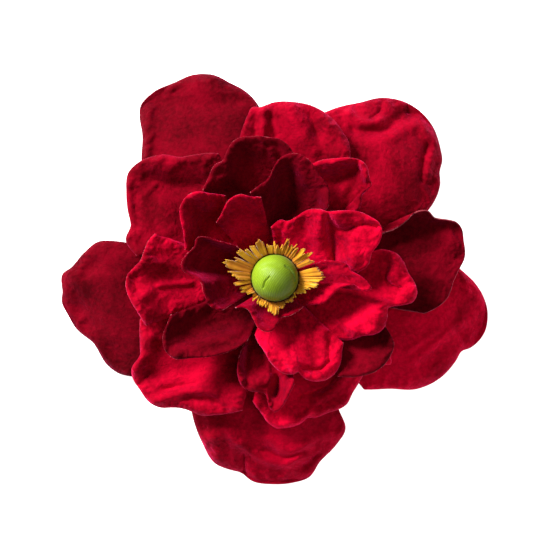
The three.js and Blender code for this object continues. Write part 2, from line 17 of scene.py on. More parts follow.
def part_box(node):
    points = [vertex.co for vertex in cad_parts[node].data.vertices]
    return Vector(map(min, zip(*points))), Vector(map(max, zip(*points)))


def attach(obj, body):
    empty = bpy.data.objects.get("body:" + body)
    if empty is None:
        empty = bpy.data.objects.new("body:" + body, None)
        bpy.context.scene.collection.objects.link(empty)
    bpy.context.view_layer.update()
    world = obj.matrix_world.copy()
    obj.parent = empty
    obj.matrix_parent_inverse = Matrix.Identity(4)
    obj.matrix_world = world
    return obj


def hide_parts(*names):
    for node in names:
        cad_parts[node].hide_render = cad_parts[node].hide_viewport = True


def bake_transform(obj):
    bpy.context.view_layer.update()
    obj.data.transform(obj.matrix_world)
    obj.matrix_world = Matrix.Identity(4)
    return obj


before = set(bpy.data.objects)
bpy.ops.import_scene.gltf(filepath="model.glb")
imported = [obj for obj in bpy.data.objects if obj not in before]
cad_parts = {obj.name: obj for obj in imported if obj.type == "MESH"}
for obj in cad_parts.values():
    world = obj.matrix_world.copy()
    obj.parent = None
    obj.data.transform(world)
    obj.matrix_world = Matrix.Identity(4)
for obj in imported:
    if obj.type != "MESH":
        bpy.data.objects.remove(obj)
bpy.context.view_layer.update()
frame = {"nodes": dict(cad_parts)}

MM = 0.001
LOG = logging.getLogger("hair_clip")
Points = np.ndarray


# Shared shapes


class Curl(Enum):
    """Which way a petal's rim is pressed."""

    UNDER = -1.0
    NONE = 0.0


class PaintedLight(Enum):
    """Painted light and shade for a petal, as a share of the dye's full colour: it lightens or darkens the upper
    face and scales the sheen, standing for how the light falls on that petal.
    """

    SHADED_DEEP = 0.4
    SHADED_SOFT = 0.6
    EVEN = 0.85
    LIT_SOFT = 1.2
    LIT_BRIGHT = 1.8


@dataclass(frozen=True)
class Stroke:
    """A soft ridge (height above 0) or crease (below 0) pressed into a petal, in millimetres.

    Its line runs through `path`, seen from above, and its cross-section is a bell `width` wide.
    """

    path: tuple[tuple[float, float], ...]
    width: float
    height: float

    def lift(self, x: Points, y: Points) -> Points:
        """Gives the height added at each place: height times exp(-(distance / width) squared).

        Args:
            x: places across, in millimetres.
            y: places up, in millimetres.

        Returns:
            The added height, in millimetres, shaped like x.
        """
        line = smooth_curve(np.array(self.path, float), 24)
        near = np.full(x.shape, 1e9)
        for a, b in zip(line[:-1], line[1:]):
            along = b - a
            share = np.clip(((x - a[0]) * along[0] + (y - a[1]) * along[1]) / max(along @ along, 1e-9), 0, 1)
            near = np.minimum(near, (x - a[0] - share * along[0]) ** 2 + (y - a[1] - share * along[1]) ** 2)
        return self.height * np.exp(-near / self.width**2)


def box_mm(node: str) -> tuple[Points, Points]:
    """Gives a node's lowest and highest corners, in millimetres."""
    low, high = (np.array(corner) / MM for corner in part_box(node))
    return low, high


def seat(piece: bpy.types.Object, node: str, material: bpy.types.Material) -> None:
    """Dresses a piece and lets it stand in for a node of the flower.

    Args:
        piece: the new piece.
        node: the node that it replaces.
        material: its finish.
    """
    piece.data.materials.append(material)
    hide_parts(node)
    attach(piece, "flower")


def smooth_curve(knots: Points, count: int) -> Points:
    """Draws a smooth open curve through knots: cubic pieces whose tangents join each knot's two neighbours.

    Args:
        knots: n points of any dimension.
        count: how many points the curve gets.

    Returns:
        count points, evenly spaced along the knots' chords.
    """
    if len(knots) < 3:
        return knots[0] + np.linspace(0, 1, count)[:, None] * (knots[-1] - knots[0])
    chords = np.linalg.norm(np.diff(knots, axis=0), axis=1)
    at = np.concatenate([[0], np.cumsum(chords)])
    tangents = np.gradient(knots, at, axis=0)
    t = np.linspace(0, at[-1], count)
    k = np.clip(np.searchsorted(at, t, side="right") - 1, 0, len(knots) - 2)
    span = (at[k + 1] - at[k])[:, None]
    s = (t - at[k])[:, None] / span
    h00, h10 = 2 * s**3 - 3 * s**2 + 1, s**3 - 2 * s**2 + s
    h01, h11 = -2 * s**3 + 3 * s**2, s**3 - s**2
    return h00 * knots[k] + h10 * span * tangents[k] + h01 * knots[k + 1] + h11 * span * tangents[k + 1]


def ripple(seed: str, x: Points, y: Points, shortest: float, longest: float, count: int = 28) -> Points:
    """Makes smooth irregular ripples: the mean of plane waves of many directions and lengths, about -1 to 1.

    Args:
        seed: any words; the same words give the same ripples.
        x: places across.
        y: places up.
        shortest: the shortest wave, in the units of x.
        longest: the longest wave.
        count: how many waves are added.

    Returns:
        The ripples' height, shaped like x.
    """
    rng = np.random.default_rng(zlib.crc32(seed.encode()))
    length = np.exp(rng.uniform(np.log(shortest), np.log(longest), count))
    way, phase = rng.uniform(0, 2 * np.pi, count), rng.uniform(0, 2 * np.pi, count)
    total = np.zeros(x.shape)
    for n in range(count):
        total += np.cos(2 * np.pi / length[n] * (x * np.cos(way[n]) + y * np.sin(way[n])) + phase[n])
    return total / math.sqrt(count / 2) / 1.6


def surface_normals(p: Points) -> Points:
    """Gives the unit normals of a grid of points: the cross product of its two directions.

    Args:
        p: rows x columns x 3 points.

    Returns:
        Normals of the same shape.
    """
    n = np.cross(np.gradient(p, axis=1), np.gradient(p, axis=0))
    return n / np.maximum(np.linalg.norm(n, axis=2, keepdims=True), 1e-12)


class MeshMaker:
    """Puts arrays of points and faces into Blender meshes."""

    @staticmethod
    def piece(
        name: str, points: Points, faces: list[Points], marks: dict[str, Points], smooth: bool = True
    ) -> bpy.types.Object:
        """Makes one mesh object at the origin.

        Args:
            name: the piece's name.
            points: n x 3 points, in metres.
            faces: arrays of faces, each with its own number of corners.
            marks: one value for each point, by attribute name.
            smooth: whether the faces are shaded smooth.

        Returns:
            The new object.
        """
        mesh = bpy.data.meshes.new(name)
        corners = [f.tolist() for f in faces]
        mesh.from_pydata(points.tolist(), [], [face for group in corners for face in group])
        for mark, values in marks.items():
            mesh.attributes.new(mark, "FLOAT", "POINT").data.foreach_set("value", values.astype(np.float32))
        mesh.polygons.foreach_set("use_smooth", np.full(len(mesh.polygons), smooth))
        mesh.update()
        made = bpy.data.objects.new(name, mesh)
        bpy.context.scene.collection.objects.link(made)
        return made

    @staticmethod
    def quads(rows: int, columns: int, wrap: bool = False) -> Points:
        """Lists the quads of a grid of points whose normals follow surface_normals.

        Args:
            rows: points along the first direction.
            columns: points along the second.
            wrap: whether the last column joins the first.

        Returns:
            m x 4 point numbers.
        """
        i, j = np.meshgrid(np.arange(rows - 1), np.arange(columns if wrap else columns - 1), indexing="ij")
        k = (j + 1) % columns
        quads = np.stack([i * columns + j, i * columns + k, (i + 1) * columns + k, (i + 1) * columns + j], -1)
        return quads.reshape(-1, 4)

    @staticmethod
    def border(rows: int, columns: int) -> Points:
        """Lists a grid's outer points in order, once round."""
        top = np.arange(columns)
        right = np.arange(1, rows) * columns + columns - 1
        low = (rows - 1) * columns + np.arange(columns - 2, -1, -1)
        left = np.arange(rows - 2, 0, -1) * columns
        return np.concatenate([top, right, low, left])

    @classmethod
    def sheet(cls, name: str, p: Points, thick: Points, marks: dict[str, Points]) -> bpy.types.Object:
        """Makes a closed sheet of cloth with a rounded edge.

        Each face lies half the thickness along the normal from the middle surface, and a third ring,
        half the thickness beyond the border, rounds the cut edge.

        Args:
            name: the piece's name.
            p: rows x columns x 3 points of the middle surface.
            thick: the thickness at each point.
            marks: rows x columns values by attribute name; cut_edge and upper_face are added.

        Returns:
            The new object.
        """
        rows, columns = p.shape[:2]
        n = surface_normals(p)
        ring = cls.border(rows, columns)
        flat, flat_n, half = p.reshape(-1, 3), n.reshape(-1, 3), thick.reshape(-1, 1) / 2
        along = np.roll(flat[ring], -1, axis=0) - np.roll(flat[ring], 1, axis=0)
        out = np.cross(along, flat_n[ring])
        out /= np.maximum(np.linalg.norm(out, axis=1, keepdims=True), 1e-12)
        middle = flat[ring].mean(axis=0)
        if ((flat[ring] - middle) * out).sum() < 0:
            out = -out
        edge = flat[ring] + out * half[ring]
        points = np.vstack([flat + flat_n * half, flat - flat_n * half, edge])
        total, rounds = rows * columns, len(ring)
        quads = cls.quads(rows, columns)
        after = np.roll(ring, -1)
        rim = 2 * total + np.arange(rounds)
        rim_after = np.roll(rim, -1)
        upper = np.stack([ring, rim, rim_after, after], -1)
        lower = np.stack([ring + total, after + total, rim_after, rim], -1)
        faces = [quads[:, ::-1], quads + total, upper, lower]
        if cls.faces_inward(points, faces):
            faces = [f[:, ::-1] for f in faces]
        kept = {mark: np.concatenate([v.ravel(), v.ravel(), v.ravel()[ring]]) for mark, v in marks.items()}
        cut = np.zeros(len(points))
        cut[2 * total:] = 1
        cut[ring] = 0.75
        kept["cut_edge"] = cut
        kept["upper_face"] = np.concatenate([np.zeros(total), np.ones(total), np.full(rounds, 0.5)])
        return cls.piece(name, points, faces, kept)

    @classmethod
    def tube(cls, name: str, path: Points, radius: float, sides: int = 16) -> bpy.types.Object:
        """Makes a closed round tube: a circle carried square to a path, with a flat fan at each end.

        Args:
            name: the piece's name.
            path: n x 3 points, in millimetres.
            radius: the tube's radius, in millimetres.
            sides: points round the tube.

        Returns:
            The new object.
        """
        along = np.gradient(path, axis=0)
        along /= np.linalg.norm(along, axis=1, keepdims=True)
        across = np.cross(along, [0.31, 0.17, 0.93])
        across /= np.linalg.norm(across, axis=1, keepdims=True)
        up = np.cross(along, across)
        turn = np.linspace(0, 2 * np.pi, sides, endpoint=False)
        ring = np.cos(turn)[:, None] * across[:, None] + np.sin(turn)[:, None] * up[:, None]
        p = path[:, None] + radius * ring
        return cls.capped(name, p, path[0], path[-1])

    @classmethod
    def capped(cls, name: str, p: Points, first: Points, last: Points) -> bpy.types.Object:
        """Closes a wrapped grid with a fan to one point at each end.

        Args:
            name: the piece's name.
            p: rows x columns x 3 points whose columns go once round, in millimetres.
            first: the point that closes the first row.
            last: the point that closes the last row.

        Returns:
            The new object.
        """
        rows, columns = p.shape[:2]
        total = rows * columns
        ring = np.arange(columns)
        after = (ring + 1) % columns
        wall = cls.quads(rows, columns, wrap=True)
        start = np.stack([after, ring, np.full(columns, total)], -1)
        stop = np.stack([total - columns + ring, total - columns + after, np.full(columns, total + 1)], -1)
        points = np.vstack([p.reshape(-1, 3), first, last])
        faces = [wall, start, stop]
        if cls.faces_inward(points, [wall]):
            faces = [f[:, ::-1] for f in faces]
        return cls.piece(name, points * MM, faces, {})

    @staticmethod
    def faces_inward(points: Points, faces: list[Points]) -> bool:
        """Tells whether a closed mesh is inside out, from the sign of its volume."""
        volume = 0.0
        for group in faces:
            a, b, c, d = (points[group[:, k]] for k in range(4))
            volume += (a * np.cross(b, c)).sum() + (a * np.cross(c, d)).sum()
        return volume < 0


# Finishes


class Shader:
    """A material's node tree, with short ways to add nodes."""

    def __init__(self, name: str) -> None:
        """Starts a material with one Principled shader."""
        self.material = bpy.data.materials.new(name)
        self.material.use_nodes = True
        self.tree = self.material.node_tree
        self.surface = self.tree.nodes["Principled BSDF"]

    def node(self, kind: str, values: dict[str, object] | None = None, **settings: object) -> bpy.types.Node:
        """Adds a node.

        Args:
            kind: the node's type.
            values: input values or links by socket name.
            settings: the node's own settings.

        Returns:
            The node.
        """
        made = self.tree.nodes.new(kind)
        for setting, value in settings.items():
            setattr(made, setting, value)
        for socket, value in (values or {}).items():
            self.put(made.inputs[socket], value)
        return made

    def put(self, socket: bpy.types.NodeSocket, value: object) -> None:
        """Links an output to a socket, or sets the socket's value."""
        if isinstance(value, bpy.types.NodeSocket):
            self.tree.links.new(value, socket)
        else:
            socket.default_value = value

    def object_place(self) -> bpy.types.NodeSocket:
        """Gives each place in the object's own coordinates."""
        return self.node("ShaderNodeTexCoord").outputs["Object"]

    def mark(self, name: str) -> bpy.types.NodeSocket:
        """Reads one of the mesh's attributes."""
        return self.node("ShaderNodeAttribute", attribute_name=name).outputs["Fac"]

    def blend(self, share: object, a: object, b: object) -> bpy.types.NodeSocket:
        """Mixes two colours by a share."""
        made = self.node("ShaderNodeMix", data_type="RGBA")
        self.put(made.inputs["Factor"], share)
        self.put(made.inputs[6], a)
        self.put(made.inputs[7], b)
        return made.outputs[2]

    def math(self, operation: str, a: object, b: object = 0.0) -> bpy.types.NodeSocket:
        """Works out one sum of two values."""
        made = self.node("ShaderNodeMath", operation=operation)
        self.put(made.inputs[0], a)
        self.put(made.inputs[1], b)
        return made.outputs[0]

    def spread(
        self, value: object, low: float, high: float, to_low: float, to_high: float
    ) -> bpy.types.NodeSocket:
        """Moves a value from one range to another."""
        made = self.node("ShaderNodeMapRange", {"Value": value, "From Min": low, "From Max": high,
                                                "To Min": to_low, "To Max": to_high})
        return made.outputs["Result"]

    def bump(self, height: object, distance: float, strength: float) -> None:
        """Raises the surface's normal by a height."""
        made = self.node("ShaderNodeBump", {"Height": height, "Distance": distance, "Strength": strength})
        self.put(self.surface.inputs["Normal"], made.outputs["Normal"])

    def constants(self, **values: object) -> None:
        """Sets values that are the same all over on the shader itself."""
        for name, value in values.items():
            self.surface.inputs[name.replace("_", " ")].default_value = value


def colour(red: float, green: float, blue: float) -> tuple[float, float, float, float]:
    """Gives a linear colour from red, green and blue of 0 to 255 as a screen shows them."""
    shares = (c / 255 for c in (red, green, blue))
    return (*(c / 12.92 if c < 0.0408 else ((c + 0.055) / 1.055) ** 2.4 for c in shares), 1.0)


class Effects:
    """Shader node groups that more than one finish uses."""

    def __init__(self) -> None:
        """Builds the groups once."""
        self.pile = self._pile()
        self.grain = self._grain()

    @staticmethod
    def _start(
        name: str, inputs: dict[str, str], outputs: dict[str, str]
    ) -> tuple[bpy.types.NodeTree, bpy.types.Node, bpy.types.Node]:
        """Makes an empty group with named sockets.

        Args:
            name: the group's name.
            inputs: socket types by name.
            outputs: socket types by name.

        Returns:
            The group, its input node and its output node.
        """
        group = bpy.data.node_groups.new(name, "ShaderNodeTree")
        for way, sockets in (("INPUT", inputs), ("OUTPUT", outputs)):
            for socket, kind in sockets.items():
                group.interface.new_socket(socket, in_out=way, socket_type=kind)
        return group, group.nodes.new("NodeGroupInput"), group.nodes.new("NodeGroupOutput")

    def _pile(self) -> bpy.types.NodeTree:
        """Brushed cloth pile: a broad mask where the pile lies over, and the fine height of its tufts."""
        group, given, out = self._start(
            "brushed_pile",
            {"Place": "NodeSocketVector", "Tuft Scale": "NodeSocketFloat", "Brush Scale": "NodeSocketFloat"},
            {"Brushed": "NodeSocketFloat", "Height": "NodeSocketFloat", "Roughness": "NodeSocketFloat"},
        )
        new, link = group.nodes.new, group.links.new
        tufts, brush, fine, crush = (new("ShaderNodeTexNoise") for _ in range(4))
        choices = ((tufts, "Tuft Scale", 2.0, 0.0), (brush, "Brush Scale", 3.0, 0.6),
                   (fine, 900.0, 3.0, 0.0), (crush, 420.0, 4.0, 1.2))
        for noise, scale, detail, distortion in choices:
            link(given.outputs["Place"], noise.inputs["Vector"])
            if isinstance(scale, str):
                link(given.outputs[scale], noise.inputs["Scale"])
            else:
                noise.inputs["Scale"].default_value = scale
            noise.inputs["Detail"].default_value = detail
            noise.inputs["Distortion"].default_value = distortion
        mixed = new("ShaderNodeMath")
        mixed.operation = "MULTIPLY_ADD"
        link(fine.outputs["Fac"], mixed.inputs[0])
        mixed.inputs[1].default_value = 0.45
        link(brush.outputs["Fac"], mixed.inputs[2])
        spread = new("ShaderNodeMapRange")
        link(mixed.outputs[0], spread.inputs["Value"])
        spread.inputs["From Min"].default_value = 0.54
        spread.inputs["From Max"].default_value = 0.9
        rough = new("ShaderNodeMapRange")
        link(tufts.outputs["Fac"], rough.inputs["Value"])
        rough.inputs["To Min"].default_value = 0.72
        rough.inputs["To Max"].default_value = 0.98
        link(spread.outputs["Result"], out.inputs["Brushed"])
        height = new("ShaderNodeMath")
        height.operation = "MULTIPLY_ADD"
        link(tufts.outputs["Fac"], height.inputs[0])
        height.inputs[1].default_value = 0.3
        link(crush.outputs["Fac"], height.inputs[2])
        link(height.outputs[0], out.inputs["Height"])
        link(rough.outputs["Result"], out.inputs["Roughness"])
        return group

    def _grain(self) -> bpy.types.NodeTree:
        """Fine scratches or blotches for hard finishes: one noise stretched along X."""
        group, given, out = self._start(
            "fine_grain",
            {"Place": "NodeSocketVector", "Scale": "NodeSocketFloat", "Stretch": "NodeSocketFloat"},
            {"Grain": "NodeSocketFloat", "Blotch": "NodeSocketFloat"},
        )
        new, link = group.nodes.new, group.links.new
        squeeze, parts = new("ShaderNodeCombineXYZ"), new("ShaderNodeVectorMath")
        parts.operation = "MULTIPLY"
        link(given.outputs["Stretch"], squeeze.inputs["X"])
        squeeze.inputs["Y"].default_value = 1.0
        squeeze.inputs["Z"].default_value = 1.0
        link(given.outputs["Place"], parts.inputs[0])
        link(squeeze.outputs["Vector"], parts.inputs[1])
        grain, blotch = new("ShaderNodeTexNoise"), new("ShaderNodeTexNoise")
        link(parts.outputs["Vector"], grain.inputs["Vector"])
        link(given.outputs["Scale"], grain.inputs["Scale"])
        grain.inputs["Detail"].default_value = 4.0
        link(given.outputs["Place"], blotch.inputs["Vector"])
        blotch.inputs["Scale"].default_value = 180.0
        link(grain.outputs["Fac"], out.inputs["Grain"])
        link(blotch.outputs["Fac"], out.inputs["Blotch"])
        return group


@dataclass(frozen=True)
class Velvet:
    """Short-pile crimson velvet with a paler cut edge, evenly dyed below; above, painted light and shade make it
    lighter or darker, and the same share scales its sheen.
    """

    deep: tuple[float, float, float, float] = colour(108, 0, 15)
    bright: tuple[float, float, float, float] = colour(172, 1, 34)
    lining: tuple[float, float, float, float] = colour(132, 2, 26)
    cut: tuple[float, float, float, float] = colour(236, 122, 134)
    cut_strength: float = 1.0
    light_share: float = 1.0

    def make(self, effects: Effects, name: str) -> bpy.types.Material:
        """Builds the material.

        Args:
            effects: the shared groups.
            name: the material's name.

        Returns:
            The material.
        """
        s = Shader(name)
        pile = s.node("ShaderNodeGroup", node_tree=effects.pile)
        s.put(pile.inputs["Place"], s.object_place())
        pile.inputs["Tuft Scale"].default_value = 4200.0
        pile.inputs["Brush Scale"].default_value = 75.0
        # Painted light and shade: the upper face's deep and bright colours (mixed into pressed) are scaled by
        # this petal's share; the lining below is not.
        deep, bright = ((*(c * self.light_share for c in shade[:3]), 1.0) for shade in (self.deep, self.bright))
        pressed = s.blend(pile.outputs["Brushed"], deep, bright)
        plain = s.blend(pile.outputs["Brushed"], self.deep, self.lining)
        body = s.blend(s.mark("upper_face"), plain, pressed)
        edge = s.math("MULTIPLY", s.mark("cut_edge"), self.cut_strength)
        s.put(s.surface.inputs["Base Color"], s.blend(edge, body, self.cut))
        s.put(s.surface.inputs["Roughness"], pile.outputs["Roughness"])
        # Painted highlight: the sheen is scaled by the same share.
        sheen = min(1.0, 0.7 * self.light_share)
        s.constants(Specular_IOR_Level=0.025, Sheen_Weight=sheen, Sheen_Roughness=0.35,
                    Sheen_Tint=(1.0, 0.025, 0.17, 1.0))
        s.bump(pile.outputs["Height"], 0.0007, 0.7)
        return s.material


@dataclass(frozen=True)
class Satin:
    """Lime-green satin with fine threads running slantwise, with painted shade that darkens it towards +X and -Y.
    """

    light: tuple[float, float, float, float] = colour(150, 184, 36)
    shade: tuple[float, float, float, float] = colour(84, 104, 10)

    def make(self, effects: Effects) -> bpy.types.Material:
        """Builds the material.

        Args:
            effects: the shared groups.

        Returns:
            The material.
        """
        s = Shader("lime_satin")
        turn = s.node("ShaderNodeMapping", {"Vector": s.object_place()})
        turn.inputs["Rotation"].default_value = (0.3, 0.2, math.radians(38))
        wave = s.node("ShaderNodeTexWave", {"Vector": turn.outputs["Vector"], "Scale": 640.0, "Distortion": 3.0,
                                            "Detail": 2.0, "Detail Scale": 1.5})
        grain = s.node("ShaderNodeGroup", node_tree=effects.grain)
        s.put(grain.inputs["Place"], turn.outputs["Vector"])
        grain.inputs["Scale"].default_value = 1500.0
        grain.inputs["Stretch"].default_value = 1.0
        share = s.math("MULTIPLY", wave.outputs["Fac"], grain.outputs["Grain"])
        # Painted shade: wrap runs from 1 towards -X and +Y to 0 towards +X and -Y, darkening the side of the ball
        # away from the key light.
        parts = s.node("ShaderNodeSeparateXYZ", {"Vector": s.object_place()})
        side = s.math("ADD", parts.outputs["X"], s.math("MULTIPLY", parts.outputs["Y"], -0.5))
        wrap = s.spread(side, -0.0045, 0.0045, 1.0, 0.0)
        lit = s.math("MULTIPLY", s.spread(share, 0.0, 0.6, 0.35, 1.0), s.math("ADD", wrap, 0.15))
        s.put(s.surface.inputs["Base Color"], s.blend(lit, self.shade, self.light))
        s.put(s.surface.inputs["Roughness"], s.spread(grain.outputs["Grain"], 0.3, 0.7, 0.34, 0.5))
        s.constants(Specular_IOR_Level=0.25, Sheen_Weight=0.12, Sheen_Roughness=0.3, Anisotropic=0.3)
        s.bump(wave.outputs["Fac"], 0.00007, 0.7)
        return s.material


@dataclass(frozen=True)
class StamenCloth:
    """Crinkled mustard cloth, more orange and darker low down: partly the cloth's own orange, partly painted
    shade deep round the ball.
    """

    # fold is the low colour: partly the cloth's orange, partly painted shade.
    tip: tuple[float, float, float, float] = colour(220, 158, 8)
    fold: tuple[float, float, float, float] = colour(166, 74, 2)

    def make(self, effects: Effects) -> bpy.types.Material:
        """Builds the material.

        Args:
            effects: the shared groups.

        Returns:
            The material.
        """
        s = Shader("stamen_cloth")
        grain = s.node("ShaderNodeGroup", node_tree=effects.grain)
        s.put(grain.inputs["Place"], s.object_place())
        grain.inputs["Scale"].default_value = 1400.0
        grain.inputs["Stretch"].default_value = 0.6
        # Partly painted shade: the colour darkens from tip to fold as tip_share falls towards the strip's foot.
        up = s.math("MULTIPLY", s.mark("tip_share"), s.spread(grain.outputs["Blotch"], 0.35, 0.6, 0.35, 1.15))
        s.put(s.surface.inputs["Base Color"], s.blend(up, self.fold, self.tip))
        s.put(s.surface.inputs["Roughness"], s.spread(grain.outputs["Grain"], 0.3, 0.7, 0.5, 0.8))
        s.constants(Specular_IOR_Level=0.25, Sheen_Weight=0.15)
        s.bump(grain.outputs["Grain"], 0.0002, 0.5)
        return s.material


@dataclass(frozen=True)
class SoftStuff:
    """Felt, tape, thread or foam: one fuzzy colour with a grain."""

    name: str
    dark: tuple[float, float, float, float]
    light: tuple[float, float, float, float]
    scale: float

    def make(self, effects: Effects) -> bpy.types.Material:
        """Builds the material.

        Args:
            effects: the shared groups.

        Returns:
            The material.
        """
        s = Shader(self.name)
        pile = s.node("ShaderNodeGroup", node_tree=effects.pile)
        s.put(pile.inputs["Place"], s.object_place())
        pile.inputs["Tuft Scale"].default_value = self.scale
        pile.inputs["Brush Scale"].default_value = 160.0
        s.put(s.surface.inputs["Base Color"], s.blend(pile.outputs["Brushed"], self.dark, self.light))
        s.put(s.surface.inputs["Roughness"], pile.outputs["Roughness"])
        s.constants(Specular_IOR_Level=0.15, Sheen_Weight=0.3, Sheen_Roughness=0.6)
        s.bump(pile.outputs["Height"], 0.0003, 0.7)
        return s.material


@dataclass(frozen=True)
class HardStuff:
    """Plated steel or set glue: a grain in the colour and the gloss."""

    name: str
    dark: tuple[float, float, float, float]
    light: tuple[float, float, float, float]
    metallic: float
    smooth: float
    rough: float
    stretch: float = 0.08

    def make(self, effects: Effects) -> bpy.types.Material:
        """Builds the material.

        Args:
            effects: the shared groups.

        Returns:
            The material.
        """
        s = Shader(self.name)
        grain = s.node("ShaderNodeGroup", node_tree=effects.grain)
        s.put(grain.inputs["Place"], s.object_place())
        grain.inputs["Scale"].default_value = 2600.0
        grain.inputs["Stretch"].default_value = self.stretch
        s.put(s.surface.inputs["Base Color"], s.blend(grain.outputs["Blotch"], self.dark, self.light))
        s.put(s.surface.inputs["Roughness"], s.spread(grain.outputs["Grain"], 0.3, 0.7, self.smooth, self.rough))
        s.constants(Metallic=self.metallic)
        s.bump(grain.outputs["Grain"], 0.00004, 0.3)
        return s.material


# Petals


def folds_of(lines: str) -> tuple[Stroke, ...]:
    """Reads folds written one to a line: width, height, then the line's places as x,y."""
    made = []
    for line in lines.strip().splitlines():
        width, height, *places = line.split()
        path = tuple((float(x), float(y)) for x, y in (place.split(",") for place in places))
        made.append(Stroke(path, float(width), float(height)))
    return tuple(made)


